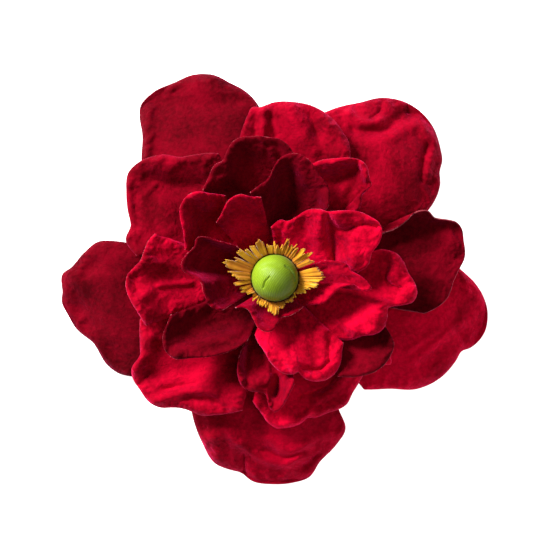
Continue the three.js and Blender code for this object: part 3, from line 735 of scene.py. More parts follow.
# The large pressed folds of each petal, in millimetres: width, height, then places along the fold.
FOLDS = {
    "outer_petal_1": """
        1.2 0.6 -30.2,50.3 -28.3,53.3 -26.1,53.9
        0.8 -0.5 -28.3,51.2 -26.7,52.5
        1.6 0.9 -35,47.5 -35.5,40.7 -35.2,33.8
        0.7 0.4 -22,55.8 -21.5,53
        0.8 0.4 -17.9,55.5 -15.7,53.3
        2.6 -0.6 -31.6,49 -20.6,47.6 -9.6,49
        0.7 0.5 -35.2,38 -33.8,39.6
    """,
    "outer_petal_2": """
        2 -0.6 -49.5,4.4 -52.3,0.8
        6 1 -40,8 -50,3 -58,-3
        3 -0.6 -55,-8 -44,-22
    """,
    "outer_petal_3": """
        2.2 1.1 -19.3,-44.6 -13.8,-42.4 -9.6,-45.9
        1.8 0.9 -16.5,-44.6 -15.7,-50
        0.6 -0.7 -8.8,-48.7 -8.5,-54.2
        1 0.7 -9.6,-45.9 -3.6,-50 2.8,-51.7 6.9,-49.5
        1.3 0.7 -1.4,-44.6 4.1,-47.9 9.6,-45.9
        0.8 -0.5 -3,-47.5 3,-49.6 8,-48
        1.5 0.6 9.6,-44.6 15,-43
        1 -0.7 8,-52.5 12,-49
    """,
    "outer_petal_4": """
        1.2 0.6 38.5,-23 44,-18.4 50.9,-12.9 55,-11
        0.9 0.45 37,-19.8 45.4,-14.3
        1.2 0.8 56.4,-5.5 53.6,-3.9
        1 -0.6 53.6,-18.5 50,-14
        3 0.6 36,-30 46,-25
    """,
    "outer_petal_5": """
        1.4 1 20.6,45.4 23.9,42.6 28.9,43.4
        0.7 -0.7 29.7,49 29.1,46.2 26.7,44
        1.8 -1.1 22,40.7 28.9,40.7 35.8,45.6 37.7,46.8
        1.8 0.8 33,39.3 38.5,42 44,38
        1 -0.8 42,36.6 41,32.4 40.4,27
        1 0.7 43.5,35.2 42.6,31 42,27.5
        7 0.9 34.4,32.5 31.6,24.2
    """,
    "second_petal_1": """
        1.2 1.1 -2.8,46.8 -3.6,38
        2 1.1 4.1,46.2 6.9,40.7 11,35.2
        1.5 -0.8 9.6,44.8 11.8,39.3
        2 0.8 13.8,44 16.5,35.2
        1 -0.6 -1.9,44.8 0,39.3
    """,
    "second_petal_2": """
        2.5 1 -34.4,33.3 -30.2,31 -26.1,32.5
        2.5 -1.1 -34.4,27.5 -30.2,25.6 -20.6,25.6
        0.8 0.5 -35.8,22.8 -33,25.6
        3 0.9 -30.2,20 -29,14
        1.5 0.8 -37.1,6.3 -34.4,10.4
        1.2 -0.6 -38.6,24 -38,14
    """,
    "second_petal_3": """
        1.3 1.2 -33,-34.4 -27.5,-32.2 -22,-31 -16.5,-31.4
        1.3 -0.9 -30.2,-30.8 -22,-29.7
        1.4 -0.8 -23.4,-33 -17.9,-33.6 -13.8,-36.3
        2 1.1 -38.5,-25.3 -35.8,-21.2 -34.4,-17
        0.7 -0.7 -37.1,-29.4 -34.9,-25.9
        3 1 -15.1,-28 -8.3,-32.2
        3 -0.9 -34.4,-26.7 -20.6,-25.3 -11,-23.1
    """,
    "second_petal_4": """
        1.2 1 2.8,-40.4 6.9,-39 9.6,-36.9
        1.5 1 11.8,-33.6 17.9,-29.4 21.2,-23.9
        1 -0.9 6.9,-32.2 13.8,-30 18,-25.9
    """,
    "second_petal_5": """
        3 -1.8 31.6,11.8 39.9,14.6 49.5,13.8
        2 1 47.6,11.8 50,8
        4 0.8 40,2 47,-2
    """,
    "third_petal_1": """
        1.8 1 13.8,31 19.3,32.5
        1.8 -1.3 13,27.5 19.3,27.5 22,30
        1.8 1 19.3,25.6 17,20
        1 0.9 24,31 24.8,27.5
    """,
    "third_petal_2": """
        2 1.1 -16.5,31 -14.3,27.5
        3 -1 -8,33 -4,26
        1 0.6 -1,35 2,29
    """,
    "third_petal_3": """
        1.3 0.9 -38,-6 -34.4,-3.9
        1.6 -1.1 -38.8,0 -38,-3.5
        0.8 0.6 -31.6,-1.9 -23.4,-1.4
        2 0.8 -36,7 -33,3
    """,
    "third_petal_4": """
        1.1 1.3 3,-33 4.4,-28.6
        1.2 -1.6 0,-32.2 0.8,-28
        1.6 1.1 -5.5,-28.9 -1.6,-28
        0.9 1 -9,-18 -9.9,-24 -9,-28
        1.2 -1.3 -7.4,-19.5 -8.2,-24.5
    """,
    "fourth_petal_1": """
        2 1.1 6.9,31 8.3,27
        1.2 1.1 13.8,22.8 14.3,19.3
        2.5 -0.9 3,28 4,20
    """,
    "fourth_petal_2": """
        2 1.4 -21,22.8 -18.5,20.5
        2.5 -1.1 -20,15 -20.5,9
    """,
    "fourth_petal_3": """
        1.8 1.6 -26.1,-20.4 -19.3,-17.9 -11,-15.7 -7,-13
        3 -0.9 -26,-13 -12,-12
    """,
    "fourth_petal_4": """
        3 1.3 6.9,-15.7 6.9,-22.6
        2 0.9 12.9,-15.7 13.8,-23
        0.8 -0.8 6.9,-24.5 11.8,-25.3 15.1,-23.1
        1.2 0.9 2.8,-21.2 5.5,-25.6
        1 -0.6 15.1,-15.7 14.6,-22.5
        1.2 0.8 8.5,-27.5 12,-27.5
    """,
    "fourth_petal_5": """
        2 1.1 33,5.5 33.5,1
        0.7 -0.7 31,2.7 30.3,0 31.6,-1.9 34.4,-2.8
        2 1 29.7,-7.4 26.7,-14.3
        2.5 1.2 27.5,-9.4 21.2,-13.8
        1.4 0.6 34,-6 38,-3
    """,
    "inner_petal_1": """
        1 -1.7 14.3,16.8 14.9,13.5 15.7,9.6 16.5,5
        0.8 -1 15.4,15.4 17.1,13.5 19.3,13.2 22,14.3 24.8,14.9 27.5,14
        2 0.9 16.5,17.3 18.7,15.7
        2.2 1.1 12.4,17.3 12.1,11.5 12.4,6.3
        2 1.4 21.2,10.5 21.5,4.4
        1.5 0.6 24,12 25,8
        1.5 0.6 6,12 5,9
    """,
    "inner_petal_3": """
        2.5 0.7 -20,-2 -17,-8
        3 -0.8 -22,4 -18,4
    """,
}

# The petals by how much painted light or painted shade their velvet gets.
PETAL_PAINTED_LIGHT = {
    PaintedLight.SHADED_DEEP: ("outer_petal_1", "outer_petal_2", "second_petal_5", "third_petal_2", "third_petal_5",
                   "fourth_petal_1", "fourth_petal_3"),
    PaintedLight.SHADED_SOFT: ("second_petal_2", "inner_petal_3"),
    PaintedLight.EVEN: ("outer_petal_5", "second_petal_1", "third_petal_4", "inner_petal_4"),
    PaintedLight.LIT_SOFT: ("outer_petal_3", "second_petal_3", "third_petal_1", "third_petal_3", "fourth_petal_2",
                   "inner_petal_2", "inner_petal_5"),
    PaintedLight.LIT_BRIGHT: ("outer_petal_4", "second_petal_4", "fourth_petal_4", "fourth_petal_5", "inner_petal_1"),
}


def painted_light_of(node: str) -> PaintedLight:
    """Finds how much painted light or painted shade a petal gets."""
    return next(pile for pile, nodes in PETAL_PAINTED_LIGHT.items() if node in nodes)


@dataclass(frozen=True)
class Petal:
    """One velvet petal, in millimetres.

    A rim point is degrees round the axis, reach from the axis and height: above the table for the
    outer tier, and above the petal's own root for the others.
    """

    node: str
    rim: tuple[tuple[float, float, float], ...]
    curl: Curl = Curl.UNDER
    roll: float = 2.2
    hold: float | None = None


@dataclass
class Tier:
    """A ring of petals glued by their roots at one height.

    The petal's middle surface runs from a root arc beside the stem to the rim: reach grows evenly with
    the share v from root to rim, the angle moves from the root arc to the rim with v to the power 0.3, and
    the height follows v to the power `hold`, or stays level until `droop_from` and then falls.
    """

    level: int
    half_root: float
    hold: float
    petals: list[Petal]
    droop_from: float = 0.0
    thick: float = 0.55
    cut_strength: float = 0.5
    rows: int = 100
    columns: int = 130
    root_reach: float = 4.3
    wrinkle: float = 0.35
    rests_on: str = "stem_tape"

    def root_height(self) -> float:
        """Gives the height of this tier's roots, above the glue pad that the first tier sits on."""
        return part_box("glue_pad")[1].z / MM + 0.6 + 1.4 * self.level

    def middle_surface(self, petal: Petal) -> tuple[Points, Points]:
        """Works out a petal's middle surface.

        Args:
            petal: the petal.

        Returns:
            rows x columns x 3 points in millimetres, and each point's distance from the rim.
        """
        rim = smooth_curve(np.array(petal.rim, float), self.columns)
        u = np.linspace(0, 1, self.columns)[None, :]
        v = (1 - (1 - np.linspace(0, 1, self.rows)) ** 1.7)[:, None]
        middle = (petal.rim[0][0] + petal.rim[-1][0]) / 2
        root = middle + self.half_root * (2 * u - 1)
        angle = np.radians(root + (rim[None, :, 0] - root) * v**0.3)
        reach = self.root_reach + (rim[None, :, 1] - self.root_reach) * v
        hold = petal.hold or self.hold
        rise = np.clip((v - self.droop_from) / (1 - self.droop_from), 0, 1) ** hold
        base = self.root_height()
        top = rim[None, :, 2] + (base if self.level else 0)
        height = base + (top - base) * rise
        x, y = reach * np.cos(angle), reach * np.sin(angle)
        from_rim = (1 - v) * np.maximum(rim[None, :, 1] - self.root_reach, 1)
        width = np.radians(abs(petal.rim[-1][0] - petal.rim[0][0])) * reach
        from_side = np.minimum(u, 1 - u) * width
        inside = np.minimum(from_rim, from_side)
        if petal.curl is not Curl.NONE:
            part = np.clip(1 - inside / petal.roll, 0, 1)
            height = height + petal.curl.value * petal.roll * (1 - np.sqrt(1 - np.minimum(part, 0.985) ** 2))
        for fold in folds_of(FOLDS.get(petal.node, "")):
            height = height + 1.5 * fold.lift(x, y)
        near_rim = 0.12 + 0.88 * np.exp(-((inside / 7.0) ** 2))
        grows = np.clip(v * 3, 0, 1)
        crumple = 0.45 - np.abs(ripple(petal.node, x, y, 5.0, 14.0))
        height = height + 1.6 * self.wrinkle * near_rim * grows * crumple
        crinkle = 0.4 - np.abs(ripple(petal.node + " fine", x, y, 2.2, 6.0))
        height = height + 0.95 * self.wrinkle * (0.1 + 0.9 * np.exp(-((inside / 4.0) ** 2))) * grows * crinkle
        height = height + 1.2 * self.wrinkle * grows * ripple(petal.node + " broad", x, y, 14.0, 30.0)
        return np.stack([x, y, height], -1), from_rim

    def build(self, petal: Petal, material: bpy.types.Material) -> bpy.types.Object:
        """Makes one petal, seated in its CAD node's box.

        Args:
            petal: the petal.
            material: its velvet.

        Returns:
            The petal's object.
        """
        p, from_rim = self.middle_surface(petal)
        low, high = (corner[:2] for corner in box_mm(petal.node))
        lo, hi = p[..., :2].reshape(-1, 2).min(0), p[..., :2].reshape(-1, 2).max(0)
        p[..., :2] = low + (p[..., :2] - lo) / (hi - lo) * (high - low)
        p[..., 2] = np.maximum(p[..., 2], self.thick / 2)
        thin = np.clip(from_rim / 3, 0.75, 1.0) * np.ones(p.shape[:2])
        made = MeshMaker.sheet(petal.node + "_velvet", p * MM, self.thick * thin * MM, {})
        seat(made, petal.node, material)
        return made

    def make(self, effects: Effects) -> list[bpy.types.Object]:
        """Builds and dresses every petal of the tier.

        Args:
            effects: the shared groups.

        Returns:
            The petals.
        """
        made = []
        for petal in self.petals:
            # Each petal's velvet gets its share of painted light or painted shade.
            finish = Velvet(cut_strength=self.cut_strength, light_share=painted_light_of(petal.node).value)
            material = finish.make(effects, petal.node + "_velvet")
            made.append(self.build(petal, material))
        return made


def outer_tier() -> Tier:
    """Sets out the five outer petals, level over the clip and drooping to the table."""
    return Tier(0, 30, 1.7, droop_from=0.5, cut_strength=0.25, rests_on="glue_pad", petals=[
        Petal("outer_petal_1", (
            (95.6, 47.8, 8), (97.2, 50.2, 7), (99.9, 53, 6), (102.9, 55.3, 5), (107.6, 59.2, 3),
            (111.8, 60.7, 2), (117.4, 61, 1), (123.4, 61.6, 0), (128.1, 60.5, 1), (129.6, 58.9, 2),
            (132.6, 54.2, 4), (138.6, 49.1, 8),
        )),
        Petal("outer_petal_2", (
            (166.5, 41, 11), (167, 45.2, 9), (168.2, 49.7, 8), (172.3, 53.3, 6), (177.2, 56.9, 3),
            (178.8, 59, 2), (183.7, 59.2, 1), (186.3, 59.6, 0), (190, 58.4, 1), (193.9, 57.1, 2),
            (199.6, 53.5, 5), (207.8, 52.3, 5), (211.1, 50.8, 6), (214.5, 48, 8),
        )),
        Petal("outer_petal_3", (
            (238.2, 43.5, 9), (243, 47.4, 7), (246.1, 49.7, 6), (252.8, 54.3, 3), (256.9, 54.7, 3),
            (260.4, 55, 2), (263.5, 56.7, 1), (269.5, 57.3, 0), (275, 57.1, 1), (279.6, 56.2, 2),
            (283.6, 52.6, 4), (289.9, 49.4, 5), (295.1, 45.8, 7), (295.5, 41, 9),
        )),
        Petal("outer_petal_4", (
            (309, 39.5, 10), (316.5, 44.4, 7), (322.2, 50.1, 4), (328.9, 53.7, 3), (335.7, 55.4, 3),
            (338.6, 55.8, 3), (340.5, 57.8, 2), (345.7, 60.3, 0), (351, 59.9, 1), (355.1, 58.1, 3),
            (358, 56, 5), (363.1, 51, 8),
        )),
        Petal("outer_petal_5", (
            (383.8, 45.8, 9), (385.3, 48.1, 8), (389.7, 52.5, 6), (393.1, 54.4, 5), (395.4, 56.8, 4),
            (398.2, 58.3, 3), (404.3, 60.8, 1), (407.7, 61.3, 0), (414.3, 60.5, 2), (419.6, 57.9, 3),
            (423.9, 54.2, 4), (429.3, 50.6, 6), (433.5, 47.5, 8),
        )),
    ])


def second_tier() -> Tier:
    """Sets out the five petals of the second tier."""
    return Tier(1, 28, 2.0, cut_strength=0.3, petals=[
        Petal("second_petal_1", (
            (57.6, 38.4, 3.2), (61.8, 42.5, 2.4), (64.9, 44.1, 1.6), (69, 46, 0.8), (73.5, 47.5, 0),
            (77.4, 48.3, 0), (84.6, 48.6, 0), (90, 48.3, 0), (95, 47.1, 0.3), (97.7, 47.2, 0.8),
            (99.3, 45.4, 1.6), (104, 39.7, 3.2),
        )),
        Petal("second_petal_2", (
            (114.7, 37.5, 4), (118.4, 38.8, 3.2), (124.2, 40.6, 3.2), (128.3, 42.1, 2.4), (132.3, 45.7, 1.6),
            (135.2, 47.3, 0.8), (138.9, 48.9, 0), (144.5, 49.6, -0.8), (149.9, 47.2, 0), (155.2, 44.5, 1.6),
            (159.8, 42.2, 2.4), (165.7, 42.2, 2.4), (170.6, 38.5, 4),
        )),
        Petal("second_petal_3", (
            (197.4, 38.6, 4), (207.3, 41.5, 2.4), (209.9, 42.5, 1.6), (212.8, 46.7, 0.8), (215.2, 47.8, 0),
            (219.7, 48.2, 0), (225, 48.6, 0), (228.5, 47.7, 0), (231.9, 45.4, 0.8), (234.9, 44, 1.6),
            (238.3, 43.3, 1.6), (241.3, 43, 1.6), (247.1, 40.9, 2.4), (256, 37.5, 4),
        )),
        Petal("second_petal_4", (
            (260, 34.5, 3.2), (264.7, 37.6, 1.6), (267.2, 39.6, 0.8), (270.8, 41.3, 0), (273.5, 41.3, 0),
            (280, 40.6, 0.5), (283, 39.5, 0.8), (285.8, 39.9, 0.8), (291.1, 39.8, 0.8), (299.7, 39.9, 1.4),
            (304, 38.1, 2.9), (308, 37, 3.8), (312.2, 36, 4.2), (315, 35.5, 4.5), (318.4, 36.4, 5.1),
            (321.5, 38.1, 5.6), (323.2, 39.5, 5.6), (326.5, 37.9, 5.6), (329.4, 36.7, 4.8),
        )),
        Petal("second_petal_5", (
            (346.9, 42.4, 3.2), (349.9, 45.4, 2.4), (353.7, 47.9, 2.2), (359, 49.2, 2.2), (363.1, 51, 2.2),
            (366, 52.5, 2.4), (371.4, 53, 3.2), (375, 53.2, 4.6), (377, 52.3, 5.6), (378.5, 50.2, 6.4),
            (380.6, 47, 7.5), (383.8, 45.7, 8), (384.9, 43.1, 8.6), (382.7, 37.8, 8.6), (382.1, 35, 8.6),
        ), curl=Curl.NONE),
    ])


def third_tier() -> Tier:
    """Sets out the five petals of the third tier."""
    return Tier(2, 24, 2.4, cut_strength=0.6, petals=[
        Petal("third_petal_1", (
            (39.9, 30, 11.2), (41.8, 31.4, 11.7), (44.5, 33.4, 12.1), (44.1, 36.4, 12.1), (46.8, 37.4, 12.1),
            (50.3, 39.2, 12.1), (54.5, 39.5, 12.1), (58.4, 38.3, 12.1), (63.4, 36.3, 12.1), (68.6, 34.3, 11.6),
            (71.8, 32.6, 11.2),
        ), roll=1.2),
        Petal("third_petal_2", (
            (80, 32.5, 11.2), (84, 36, 11.2), (88.3, 37.8, 11.2), (92.9, 38.3, 11.7), (96.5, 38.8, 12.1),
            (99.6, 39, 12.1), (105.4, 39.2, 12.1), (110.4, 37.1, 11.2), (113.5, 35.1, 10.9),
            (118.4, 34.7, 10.4), (123.7, 32.7, 9.9), (128.9, 31.1, 9.5),
        ), roll=1.2),
        Petal("third_petal_3", (
            (160, 35, 7.8), (163.1, 35.9, 8.3), (168, 36.4, 8.7), (173.1, 37.1, 9.5), (175.9, 38.6, 9.5),
            (178.8, 40.2, 9.5), (181.9, 40.7, 9.5), (185.9, 40.4, 9.5), (189.6, 39.6, 9.5), (193.1, 38.7, 9.5),
            (200, 37.5, 7.8),
        ), roll=1.8),
        Petal("third_petal_4", (
            (246, 24, 7), (248.5, 27.8, 7), (252.9, 30.8, 7), (257.4, 31.6, 7), (263.5, 31.6, 7.3),
            (265.6, 32, 7.5), (267.8, 35.5, 7.8), (270, 36.6, 7.8), (273.1, 35.3, 8.2), (275.8, 32.9, 8.7),
            (280, 29.5, 9.5),
        ), roll=1.0),
        Petal("third_petal_5", (
            (303, 32, 7.8), (310, 35, 8.7), (318, 37.5, 9.5), (325, 38, 9.5), (331, 37, 9.5), (336, 33, 9.5),
        ), roll=1.5),
    ])


def fourth_tier() -> Tier:
    """Sets out the five petals of the fourth tier."""
    return Tier(3, 27, 2.2, cut_strength=0.8, petals=[
        Petal("fourth_petal_1", (
            (53.5, 24.6, 12.2), (59.5, 28.7, 12.2), (67.3, 30.7, 12.8), (71.8, 32.6, 13.2), (75.3, 33.6, 13.4),
            (79.1, 34.2, 13.4), (82.6, 34, 13.4), (87.1, 32.6, 13.4), (90, 30.5, 13.4), (92.5, 27.8, 13.4),
            (100, 25.4, 12.8), (105.8, 24.3, 12.2),
        ), roll=1.0),
        Petal("fourth_petal_2", (
            (121.5, 26.3, 12.2), (129, 29.7, 13.4), (131.4, 31.2, 13.8), (135.5, 32.4, 14), (139.4, 32.6, 14),
            (143.8, 31.9, 13.8), (148.1, 30.1, 13.4), (152.7, 27.9, 12.6), (156, 27, 12.2), (162, 25.6, 11),
        ), roll=1.0),
        Petal("fourth_petal_3", (
            (199.8, 30.1, 9.8), (203, 31.7, 10.2), (206.5, 33.8, 10.4), (210, 35.2, 10.4), (214.7, 35.8, 10.4),
            (219.2, 34.8, 10.4), (223.9, 31.3, 10.4), (229.4, 28.3, 10.2), (235.9, 24.6, 9.8),
            (241.2, 21.7, 9.8), (245.7, 18.7, 9.8),
        ), roll=1.2, hold=2.8),
        Petal("fourth_petal_4", (
            (251, 16.5, 8.6), (255, 18, 9), (261.4, 20, 9.8), (268.7, 23.7, 10.4), (274.2, 25.8, 10.4),
            (280.7, 26.6, 10.2), (284.4, 26.5, 9.8), (285.5, 27.7, 9.5), (289.4, 29.7, 8.6), (293.8, 30.7, 8.3),
            (298.6, 31, 8), (303.6, 30.4, 8), (308.1, 29, 8.3), (312.5, 26.9, 9.2), (316, 25.8, 9.8),
        ), roll=3.0, hold=0.9),
        Petal("fourth_petal_5", (
            (314, 23, 5), (321, 27, 6.8), (326.8, 28.9, 9), (330.5, 31.3, 9.6), (335.2, 32.7, 9.8),
            (339.7, 32.5, 9.8), (345.7, 32.3, 9.8), (347.8, 35.2, 9.6), (350, 38, 9.2), (353.7, 38.9, 9.2),
            (357.9, 38, 9.2), (362.2, 36.3, 9.7), (367.2, 35.2, 10.1), (372, 33.2, 10.7), (375, 30, 11),
        ), roll=2.0, hold=0.8),
    ])


def inner_tier() -> Tier:
    """Sets out the five petals round the stamens."""
    return Tier(4, 27, 1.8, cut_strength=0.9, petals=[
        Petal("inner_petal_1", (
            (4, 22.5, 10.9), (7, 25, 12), (10, 26, 12.5), (14.4, 27, 13.6), (19.3, 30, 14.6),
            (23.8, 31.7, 15.2), (27.7, 32, 15.7), (32.3, 30.9, 16.2), (39.1, 28.8, 16.2), (45.4, 25.8, 15.7),
            (50.7, 23.4, 14.6), (58.1, 22.1, 13.6), (65.2, 20.3, 12.5), (70.2, 17.9, 12), (75.4, 16.2, 11.4),
            (86, 15.8, 10.4), (94, 14, 9.9),
        ), roll=1.2, hold=0.95),
        Petal("inner_petal_2", (
            (100, 22.2, 14.6), (106.5, 22.9, 15.2), (112.5, 24.4, 15.7), (120.9, 24.4, 15.7),
            (127.3, 23.1, 15.7), (131, 22.4, 15.5), (136, 21.9, 15.2),
        ), roll=0.8),
        Petal("inner_petal_3", (
            (141, 13.5, 12.5), (146, 17.5, 13.6), (148.5, 20, 14.2), (149, 21.2, 14.6), (151.9, 23.4, 14.6),
            (159.1, 23.5, 14.6), (166, 24.9, 14.6), (171.7, 25.6, 14.6), (175.6, 24.7, 14.6),
            (178.6, 22.3, 14.1), (182.3, 20.4, 13.8), (190.8, 19.7, 13.6), (202.7, 19.2, 13),
            (208.4, 17.8, 12.7), (211, 16.5, 12.5),
        ), roll=0.8),
        Petal("inner_petal_4", (
            (217, 13.4, 12.5), (221.6, 12, 12.2), (232.8, 11.3, 12), (242.9, 12.6, 12.2), (251.9, 14.2, 12.7),
            (260.2, 14.6, 13), (268.3, 13.8, 13), (272.7, 12.2, 12.6), (278, 11, 12.2), (290, 10.9, 12),
            (314, 10.9, 10.9),
        ), roll=1.2, hold=1.25),
        Petal("inner_petal_5", (
            (321, 11.4, 9.3), (327, 13, 10.7), (333, 14.8, 12), (340, 15.8, 12.5), (347.6, 17, 13),
            (353.1, 18.8, 13.6), (355.2, 21, 13.6), (352.1, 24, 13.6), (353.4, 26, 13.6), (356.8, 25.3, 13.8),
            (360.7, 23.4, 14.1), (365.3, 20.7, 14.1), (371.3, 19.6, 14.1), (375.3, 17.1, 13.6),
            (379, 14.5, 12.5),
        ), roll=0.8, hold=0.75),
    ])


# Centre


@dataclass
class Pistil:
    """The satin ball: a sphere whose skin has soft creases, closed into a tied neck."""

    rows: int = 120
    columns: int = 160
    creases: tuple[Stroke, ...] = (
        Stroke(((-3.2, -2.7), (-2.7, -1.1), (-1.5, 0.3)), 0.22, -0.42),
        Stroke(((2.9, 3.3), (4.2, 2.4), (5.1, 1.0), (5.5, -0.9)), 0.24, -0.6),
        Stroke(((-3.6, 3.4), (-1.5, 3.9), (0.8, 3.6)), 0.6, -0.2),
    )

    def skin(self) -> Points:
        """Works out the skin.

        A profile turned round the axis: the sphere's polar angle runs from the top to 158 degrees, and
        then the skin gathers into a straight neck with pleats, radius times 1 + 0.06 cos(14 angle).

        Returns:
            rows x columns x 3 points in millimetres.
        """
        low, high = box_mm("ball_skin")
        radius = (high[0] - low[0]) / 2
        centre = np.array([0.0, 0.0, high[2] - radius])
        polar = np.linspace(0.001, math.radians(158), self.rows - 12)
        r = np.concatenate([radius * np.sin(polar), np.linspace(radius * math.sin(polar[-1]) * 0.96, 1.9, 12)])
        z = np.concatenate([radius * np.cos(polar), np.linspace(radius * math.cos(polar[-1]) - 0.1,
                                                                low[2] - centre[2], 12)])
        angle = np.linspace(0, 2 * np.pi, self.columns, endpoint=False)[None, :]
        gather = np.clip((-z - 3.5) / 2.5, 0, 1)[:, None]
        r = r[:, None] * (1 + 0.06 * gather * np.cos(14 * angle))
        x, y = r * np.cos(angle), r * np.sin(angle)
        top = np.clip(z / radius, 0, 1)[:, None]
        lift = sum(c.lift(x, y) for c in self.creases) * np.sqrt(top)
        dent = 1 + lift / radius
        return np.stack([x * dent, y * dent, z[:, None] * dent], -1) + centre

    def make(self, effects: Effects) -> list[bpy.types.Object]:
        """Builds the ball's skin, closed at its pole and its neck.

        Args:
            effects: the shared groups.

        Returns:
            The pieces.
        """
        p = self.skin()
        made = MeshMaker.capped("satin_ball", p, p[0].mean(0), p[-1].mean(0))
        seat(made, "ball_skin", Satin().make(effects))
        return [made]


@dataclass
class StamenStrip:
    """One strip of cloth cut into a fringe and stood round the ball. An outline point is degrees and reach."""

    node: str
    outline: tuple[tuple[float, float], ...]
    fingers: int
    notch: float = 0.4
    twist: float = 0.5
    ruffle: float = 0.25
    pleat: float = 0.13
    foot: float = 22.4
    side: float = 6.75
    thick: float = 0.24

    def surface(self) -> tuple[Points, Points]:
        """Works out the strip's middle surface.

        One grid runs along the ring and up the strip. Each finger takes its own width of the ring. A
        column ends lower by notch times |s| to the power 8, where s goes from -1 to 1 across its finger.
        From the foot the wall passes the ball's side and flares to the outline. Across each finger it
        bends by twist sin(pi s), and along the ring it waves by `ruffle` and, more finely, by `pleat`, all
        of them growing with height.

        Returns:
            rows x columns x 3 points in millimetres, and each point's share of the full height.
        """
        rng = np.random.default_rng(zlib.crc32(self.node.encode()))
        each, rows = 18, 44
        widths = rng.uniform(0.55, 1.45, self.fingers)
        edges = np.concatenate([[0], np.cumsum(widths)]) / widths.sum()
        at = np.linspace(0, self.fingers, self.fingers * each + 1)
        finger = np.minimum(at.astype(int), self.fingers - 1)
        s = 2 * (at - finger) - 1
        u = np.interp(at, np.arange(self.fingers + 1), edges)
        degrees = self.outline[0][0] + u * (self.outline[-1][0] - self.outline[0][0])
        reach = np.interp(degrees, *smooth_curve(np.array(self.outline, float), 200).T)
        reach = reach * rng.uniform(0.9, 1.05, self.fingers)[finger]
        lift = rng.uniform(-0.7, 0.8, self.fingers)[finger]
        end = 1 - self.notch * rng.uniform(0.6, 1.3, self.fingers)[finger] * np.abs(s) ** 8
        end = end - 0.05 * np.abs(np.sin(at * 9.1 + 2 * np.sin(at * 3.3)))
        t = np.linspace(0, 1, rows)[:, None] * end[None, :]
        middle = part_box("ball_skin")[1].z / MM - 6.4
        knots = np.array([0.0, 0.35, 0.6, 1.0])
        bulge = np.interp(t, knots, [4.4, 6.75, self.side, self.side])
        flare = np.clip((t - 0.6) / 0.4, 0, 1) ** 1.2
        radius = bulge + flare * (reach - self.side)
        rim = middle + 0.3 + (reach - self.side) * 0.42 + lift
        z = np.interp(t, knots[:3], [self.foot, self.foot + 2.4, middle - 0.2])
        z = z + flare * (rim - middle + 0.2)
        twist = rng.uniform(-self.twist, self.twist, self.fingers)[finger]
        grows = np.clip((t - 0.45) / 0.55, 0, 1) ** 1.3
        wave = np.sin(0.29 * degrees + 1.7 * np.sin(0.11 * degrees))
        wave = wave + 0.8 * np.sin(0.83 * degrees + 2 * np.sin(0.3 * degrees))
        pleats = np.sin(2 * np.pi * 2.3 * at + 3 * np.sin(1.9 * at))
        radius = radius + grows * (twist * np.sin(np.pi * s) + self.ruffle * wave + self.pleat * pleats)
        turn = np.radians(degrees) + grows * 0.03 * np.cos(0.37 * degrees)
        return np.stack([radius * np.cos(turn), radius * np.sin(turn), z], -1), t

    def make(self, material: bpy.types.Material) -> bpy.types.Object:
        """Builds the strip.

        Args:
            material: the cloth.

        Returns:
            The strip's object.
        """
        p, share = self.surface()
        thick = np.full(share.shape, self.thick * MM)
        # tip_share grows up the strip; the cloth darkens where it is low, partly painted shade.
        tips = {"tip_share": np.clip(share * 1.9 - 0.85, 0, 1)}
        made = MeshMaker.sheet(self.node + "_fringe", p * MM, thick, tips)
        seat(made, self.node, material)
        return made


@dataclass
class StamenRuff:
    """The four fringed strips."""

    strips: list[StamenStrip] = field(default_factory=lambda: [
        StamenStrip("stamen_strip_top", ((22, 12.2), (34, 11.8), (49, 11), (61, 11), (70.5, 11.5), (79, 9.4),
                                         (93, 9.9), (104, 10.2)), 11, 0.5, 0.7),
        StamenStrip("stamen_strip_left", ((108, 10.4), (128, 11.6), (145, 12.4), (155, 13.3), (163.6, 13.9),
                                          (175, 13), (183, 12.1), (192, 10.2)), 9, 0.6, 0.5),
        StamenStrip("stamen_strip_bottom", ((196, 9.6), (212, 8.6), (234, 8), (250, 8.6), (262, 10), (276, 8.7),
                                            (290, 8)), 12, 0.25, 0.4, 0.4),
        StamenStrip("stamen_strip_right", ((294, 7.9), (304, 7.9), (318, 8), (330, 8.6), (341, 10.4), (352, 12.6),
                                           (361, 13.5), (374, 12.5)), 10, 0.22, 0.5, 0.5),
    ])

    def make(self, effects: Effects) -> list[bpy.types.Object]:
        """Builds the strips from one cloth."""
        cloth = StamenCloth().make(effects)
        return [strip.make(cloth) for strip in self.strips]


# Back and clip


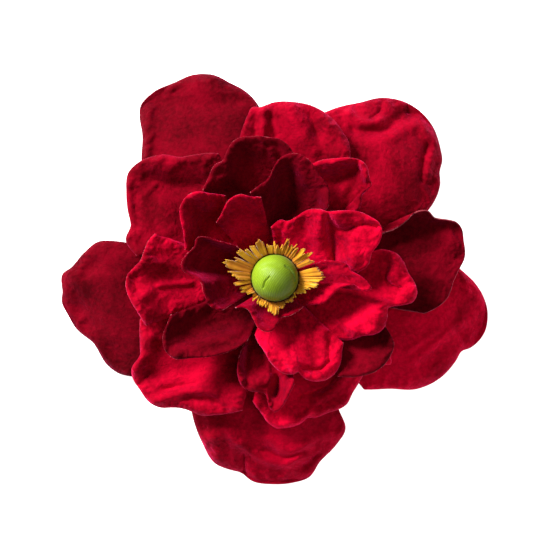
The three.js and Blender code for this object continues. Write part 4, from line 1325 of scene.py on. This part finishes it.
@dataclass
class Backing:
    """Felt disc, glue, wound stem, tying thread and foam behind and inside the flower."""

    felt: SoftStuff = SoftStuff("dark_red_felt", colour(88, 8, 26), colour(124, 18, 40), 2600.0)
    foam: SoftStuff = SoftStuff("white_foam", colour(225, 225, 220), colour(246, 246, 242), 3000.0)
    thread: SoftStuff = SoftStuff("green_thread", colour(80, 98, 30), colour(110, 130, 44), 5200.0)
    tape: SoftStuff = SoftStuff("stem_tape", colour(60, 92, 40), colour(92, 124, 56), 3600.0)
    glue: HardStuff = HardStuff("set_glue", colour(214, 206, 178), colour(238, 232, 210), 0.0, 0.25, 0.4, 1.0)
    thread_radius: float = 0.14
    thread_turns: float = 4.0
    tape_pitch: float = 2.2

    def felt_disc(self) -> bpy.types.Object:
        """Makes the felt disc: a low drum with a rounded, slightly uneven rim and a soft lumpy face.

        Its profile runs from the middle of the lower face round the rim to the middle of the upper face,
        the rim being a squashed half circle; the reach swells by up to 0.15 mm round the rim.
        """
        low, high = box_mm("felt_backing")
        radius, half, middle = (high[0] - low[0]) / 2, (high[2] - low[2]) / 2, (high[2] + low[2]) / 2
        round_off = np.linspace(-np.pi / 2, np.pi / 2, 17)
        inner = np.linspace(0.3, radius - 0.6, 40)
        r = np.concatenate([inner, radius - 0.5 + 0.5 * np.cos(round_off), inner[::-1]])[:, None]
        z = np.concatenate([np.full(40, -1.0), np.sin(round_off), np.full(40, 1.0)])[:, None] * half
        turn = np.linspace(0, 2 * np.pi, 180, endpoint=False)[None, :]
        r = r * (1 - 0.008 + 0.008 * np.sin(7 * turn + 2 * np.sin(3 * turn)))
        x, y = r * np.cos(turn), r * np.sin(turn)
        lumps = 0.04 * ripple("felt", x, y, 1.2, 4.0) * np.sign(z) - 0.05 * np.sign(z)
        p = np.stack([x, y, z + lumps + middle], -1)
        return MeshMaker.capped("felt_disc", p, p[0].mean(0), p[-1].mean(0))

    def wound_tape(self) -> bpy.types.Object:
        """Makes the tape wound up the stem: a drum whose side steps in by 0.12 mm along a climbing spiral."""
        low, high = box_mm("stem_tape")
        z = np.linspace(low[2], high[2], 90)[:, None]
        turn = np.linspace(0, 2 * np.pi, 72, endpoint=False)[None, :]
        lap = np.mod((z - low[2]) / self.tape_pitch - turn / (2 * np.pi), 1.0)
        taper = np.clip((high[2] - z) / 1.0, 0, 1)
        r = (2.4 + 0.85 * taper) - 0.12 * lap
        p = np.stack([r * np.cos(turn), r * np.sin(turn), z + 0 * turn], -1)
        return MeshMaker.capped("wound_tape", p, np.array([0, 0, low[2]]), np.array([0, 0, high[2]]))

    def tying_thread(self) -> bpy.types.Object:
        """Makes the thread tied round the ball's neck: a close coil."""
        low, high = box_mm("neck_thread")
        turn = np.linspace(0, 2 * np.pi * self.thread_turns, 240)
        reach = high[0] - self.thread_radius - 0.1 + 0.04 * np.sin(turn * 0.73)
        climb = low[2] + self.thread_radius + (high[2] - low[2] - 2 * self.thread_radius) * turn / turn[-1]
        path = np.stack([reach * np.cos(turn), reach * np.sin(turn), climb], -1)
        return MeshMaker.tube("tying_thread", path, self.thread_radius, 10)

    def foam_core(self) -> bpy.types.Object:
        """Makes the foam ball inside the satin: a sphere with shallow pits."""
        low, high = box_mm("ball_core")
        polar = np.linspace(0.02, np.pi - 0.02, 60)[:, None]
        turn = np.linspace(0, 2 * np.pi, 96, endpoint=False)[None, :]
        pits = 0.05 * np.abs(ripple("foam", polar * 6 * np.cos(turn), polar * 6 * np.sin(turn), 1.2, 3.0))
        r = (high[2] - low[2]) / 2 - pits
        p = np.stack([r * np.sin(polar) * np.cos(turn), r * np.sin(polar) * np.sin(turn), r * np.cos(polar)], -1)
        p = p + [0, 0, (high[2] + low[2]) / 2]
        return MeshMaker.capped("foam_core", p, p[0].mean(0), p[-1].mean(0))

    def make(self, effects: Effects, nodes: dict[str, bpy.types.Object]) -> list[bpy.types.Object]:
        """Builds the soft pieces and dresses the glue.

        Args:
            effects: the shared groups.
            nodes: the CAD nodes by name.

        Returns:
            The pieces.
        """
        glue = self.glue.make(effects)
        for node in ("glue_pad", "clip_glue"):
            set_material(nodes[node], glue)
        built = (("felt_backing", self.felt_disc(), self.felt, "felt"),
                 ("stem_tape", self.wound_tape(), self.tape, "tape"),
                 ("neck_thread", self.tying_thread(), self.thread, "thread"),
                 ("ball_core", self.foam_core(), self.foam, "foam"))
        for node, piece, finish, slot in built:
            seat(piece, node, finish.make(effects))
        return [piece for _, piece, _, _ in built]


def set_material(piece: bpy.types.Object, material: bpy.types.Material) -> None:
    """Gives a piece one material."""
    piece.data.materials.clear()
    piece.data.materials.append(material)


@dataclass
class HairClip:
    """The alligator clip: plate, jaw, hinge pin and torsion spring, in millimetres."""

    plated: HardStuff = HardStuff("nickel_plate", colour(176, 178, 182), colour(206, 208, 212), 1.0, 0.2, 0.34)
    wire: float = 0.3
    turns: float = 4.5

    def spring_wire(self) -> Points:
        """Works out the spring wire's middle line.

        A coil goes round the hinge pin from its top, 4.5 turns across the clip, and a straight leg
        leaves each end backwards: one lies under the plate, the other on the jaw's finger tab.

        Returns:
            n x 3 points.
        """
        low, high = box_mm("torsion_spring")
        pin = sum(box_mm("hinge_pin")) / 2
        half = (high[1] - low[1]) / 2 - self.wire
        coil = high[0] - self.wire - pin[0]
        share = np.linspace(0, 1, 320)
        turn = np.pi / 2 - share * self.turns * 2 * np.pi
        ring = np.stack([pin[0] + coil * np.cos(turn), half * (2 * share - 1), pin[2] + coil * np.sin(turn)], -1)
        top, tab = high[2] - self.wire, low[2] + self.wire
        upper = np.array([[-16.0, -half, top], [-14.0, -half, top], [-11.5, -half, pin[2] + coil + 0.03],
                          [-9.5, -half, pin[2] + coil]])
        lower = np.array([[-9.5, half, pin[2] - coil + 0.02], [-12.5, half, tab + 0.75], [-14.5, half, tab + 0.4],
                          [low[0] + 0.3, half, tab]])
        return smooth_curve(np.vstack([upper, ring[::4], lower]), 700)

    def make(self, effects: Effects, nodes: dict[str, bpy.types.Object]) -> list[bpy.types.Object]:
        """Dresses the clip's plain pieces and builds the spring.

        Args:
            effects: the shared groups.
            nodes: the CAD nodes by name.

        Returns:
            The dressed pieces.
        """
        steel = self.plated.make(effects)
        names = ("clip_plate", "clip_jaw", "hinge_pin", "stem_wire")
        for node in names:
            set_material(nodes[node], steel)
        path = self.spring_wire()
        spring = MeshMaker.tube("spring_wire", path, self.wire)
        spring.data.materials.append(steel)
        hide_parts("torsion_spring")
        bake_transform(spring)
        return [nodes[node] for node in names] + [spring]


# Studio


@dataclass
class Studio:
    """A white table, soft lights and a camera straight above."""

    view_width: float = 151.5
    lens: float = 300.0
    centre: tuple[float, float] = (0.14, 0.69)

    def lamp(self, name: str, place: tuple[float, float, float], size: float, power: float) -> None:
        """Adds a square soft light aimed at the flower.

        Args:
            name: the light's name.
            place: where it stands, in metres.
            size: its side, in metres.
            power: its power, in watts.
        """
        data = bpy.data.lights.new(name, "AREA")
        data.size, data.energy = size, power
        lamp = bpy.data.objects.new(name, data)
        aim = Vector((0, 0, 0.02)) - Vector(place)
        lamp.matrix_world = Matrix.Translation(place) @ aim.to_track_quat("-Z", "Y").to_matrix().to_4x4()
        bpy.context.scene.collection.objects.link(lamp)

    def floor(self) -> bpy.types.Object:
        """Lays the table: white, glowing a little so that shadows stay faint, and clear from below."""
        half = 3.0
        low = -0.0002
        points = np.array([[-half, -half, low], [half, -half, low], [half, half, low], [-half, half, low]])
        made = MeshMaker.piece("table", points, [np.array([[0, 1, 2, 3]])], {}, smooth=False)
        s = Shader("white_table")
        s.constants(Base_Color=(0.92, 0.92, 0.92, 1), Roughness=0.9)
        s.constants(Emission_Color=(1, 1, 1, 1), Emission_Strength=1.0)
        clear = s.node("ShaderNodeBsdfTransparent")
        below = s.node("ShaderNodeNewGeometry").outputs["Backfacing"]
        mixed = s.node("ShaderNodeMixShader")
        s.put(mixed.inputs[0], below)
        s.put(mixed.inputs[1], s.surface.outputs[0])
        s.put(mixed.inputs[2], clear.outputs[0])
        s.put(s.tree.nodes["Material Output"].inputs["Surface"], mixed.outputs[0])
        made.data.materials.append(s.material)
        return made

    def camera(self) -> None:
        """Puts the camera straight above, so that the view's width at half the flower's height is view_width."""
        data = bpy.data.cameras.new("camera")
        data.lens, data.sensor_width = self.lens, 36.0
        data.clip_start, data.clip_end = 0.05, 20.0
        eye = bpy.data.objects.new("camera", data)
        height = self.view_width * MM * self.lens / 36.0 + 0.015
        eye.location = (self.centre[0] * MM, self.centre[1] * MM, height)
        bpy.context.scene.collection.objects.link(eye)
        bpy.context.scene.camera = eye

    def make(self) -> None:
        """Sets the whole studio up."""
        self.floor()
        self.camera()
        self.lamp("key", (-0.92, 0.88, 0.84), 0.5, 54.0)
        self.lamp("fill", (0.5, -0.1, 1.0), 0.8, 3.4)
        world = bpy.data.worlds.new("studio")
        bpy.context.scene.world = world
        world.use_nodes = True
        world.node_tree.nodes["Background"].inputs["Color"].default_value = (1, 1, 1, 1)
        world.node_tree.nodes["Background"].inputs["Strength"].default_value = 0.16
        bpy.context.scene.view_settings.view_transform = "Standard"


def main() -> None:
    """Builds every sub-assembly in order and reports its pieces."""
    logging.basicConfig(level=logging.INFO, format="%(message)s")
    effects = Effects()
    nodes = frame["nodes"]
    made: list[bpy.types.Object] = []
    for tier in (outer_tier(), second_tier(), third_tier(), fourth_tier(), inner_tier()):
        made += tier.make(effects)
    made += Pistil().make(effects)
    made += StamenRuff().make(effects)
    made += Backing().make(effects, nodes)
    made += HairClip().make(effects, nodes)
    for piece in made:
        LOG.info("%s: %d points", piece.name, len(piece.data.vertices))
    Studio().make()


if __name__ == "__main__":
    main()
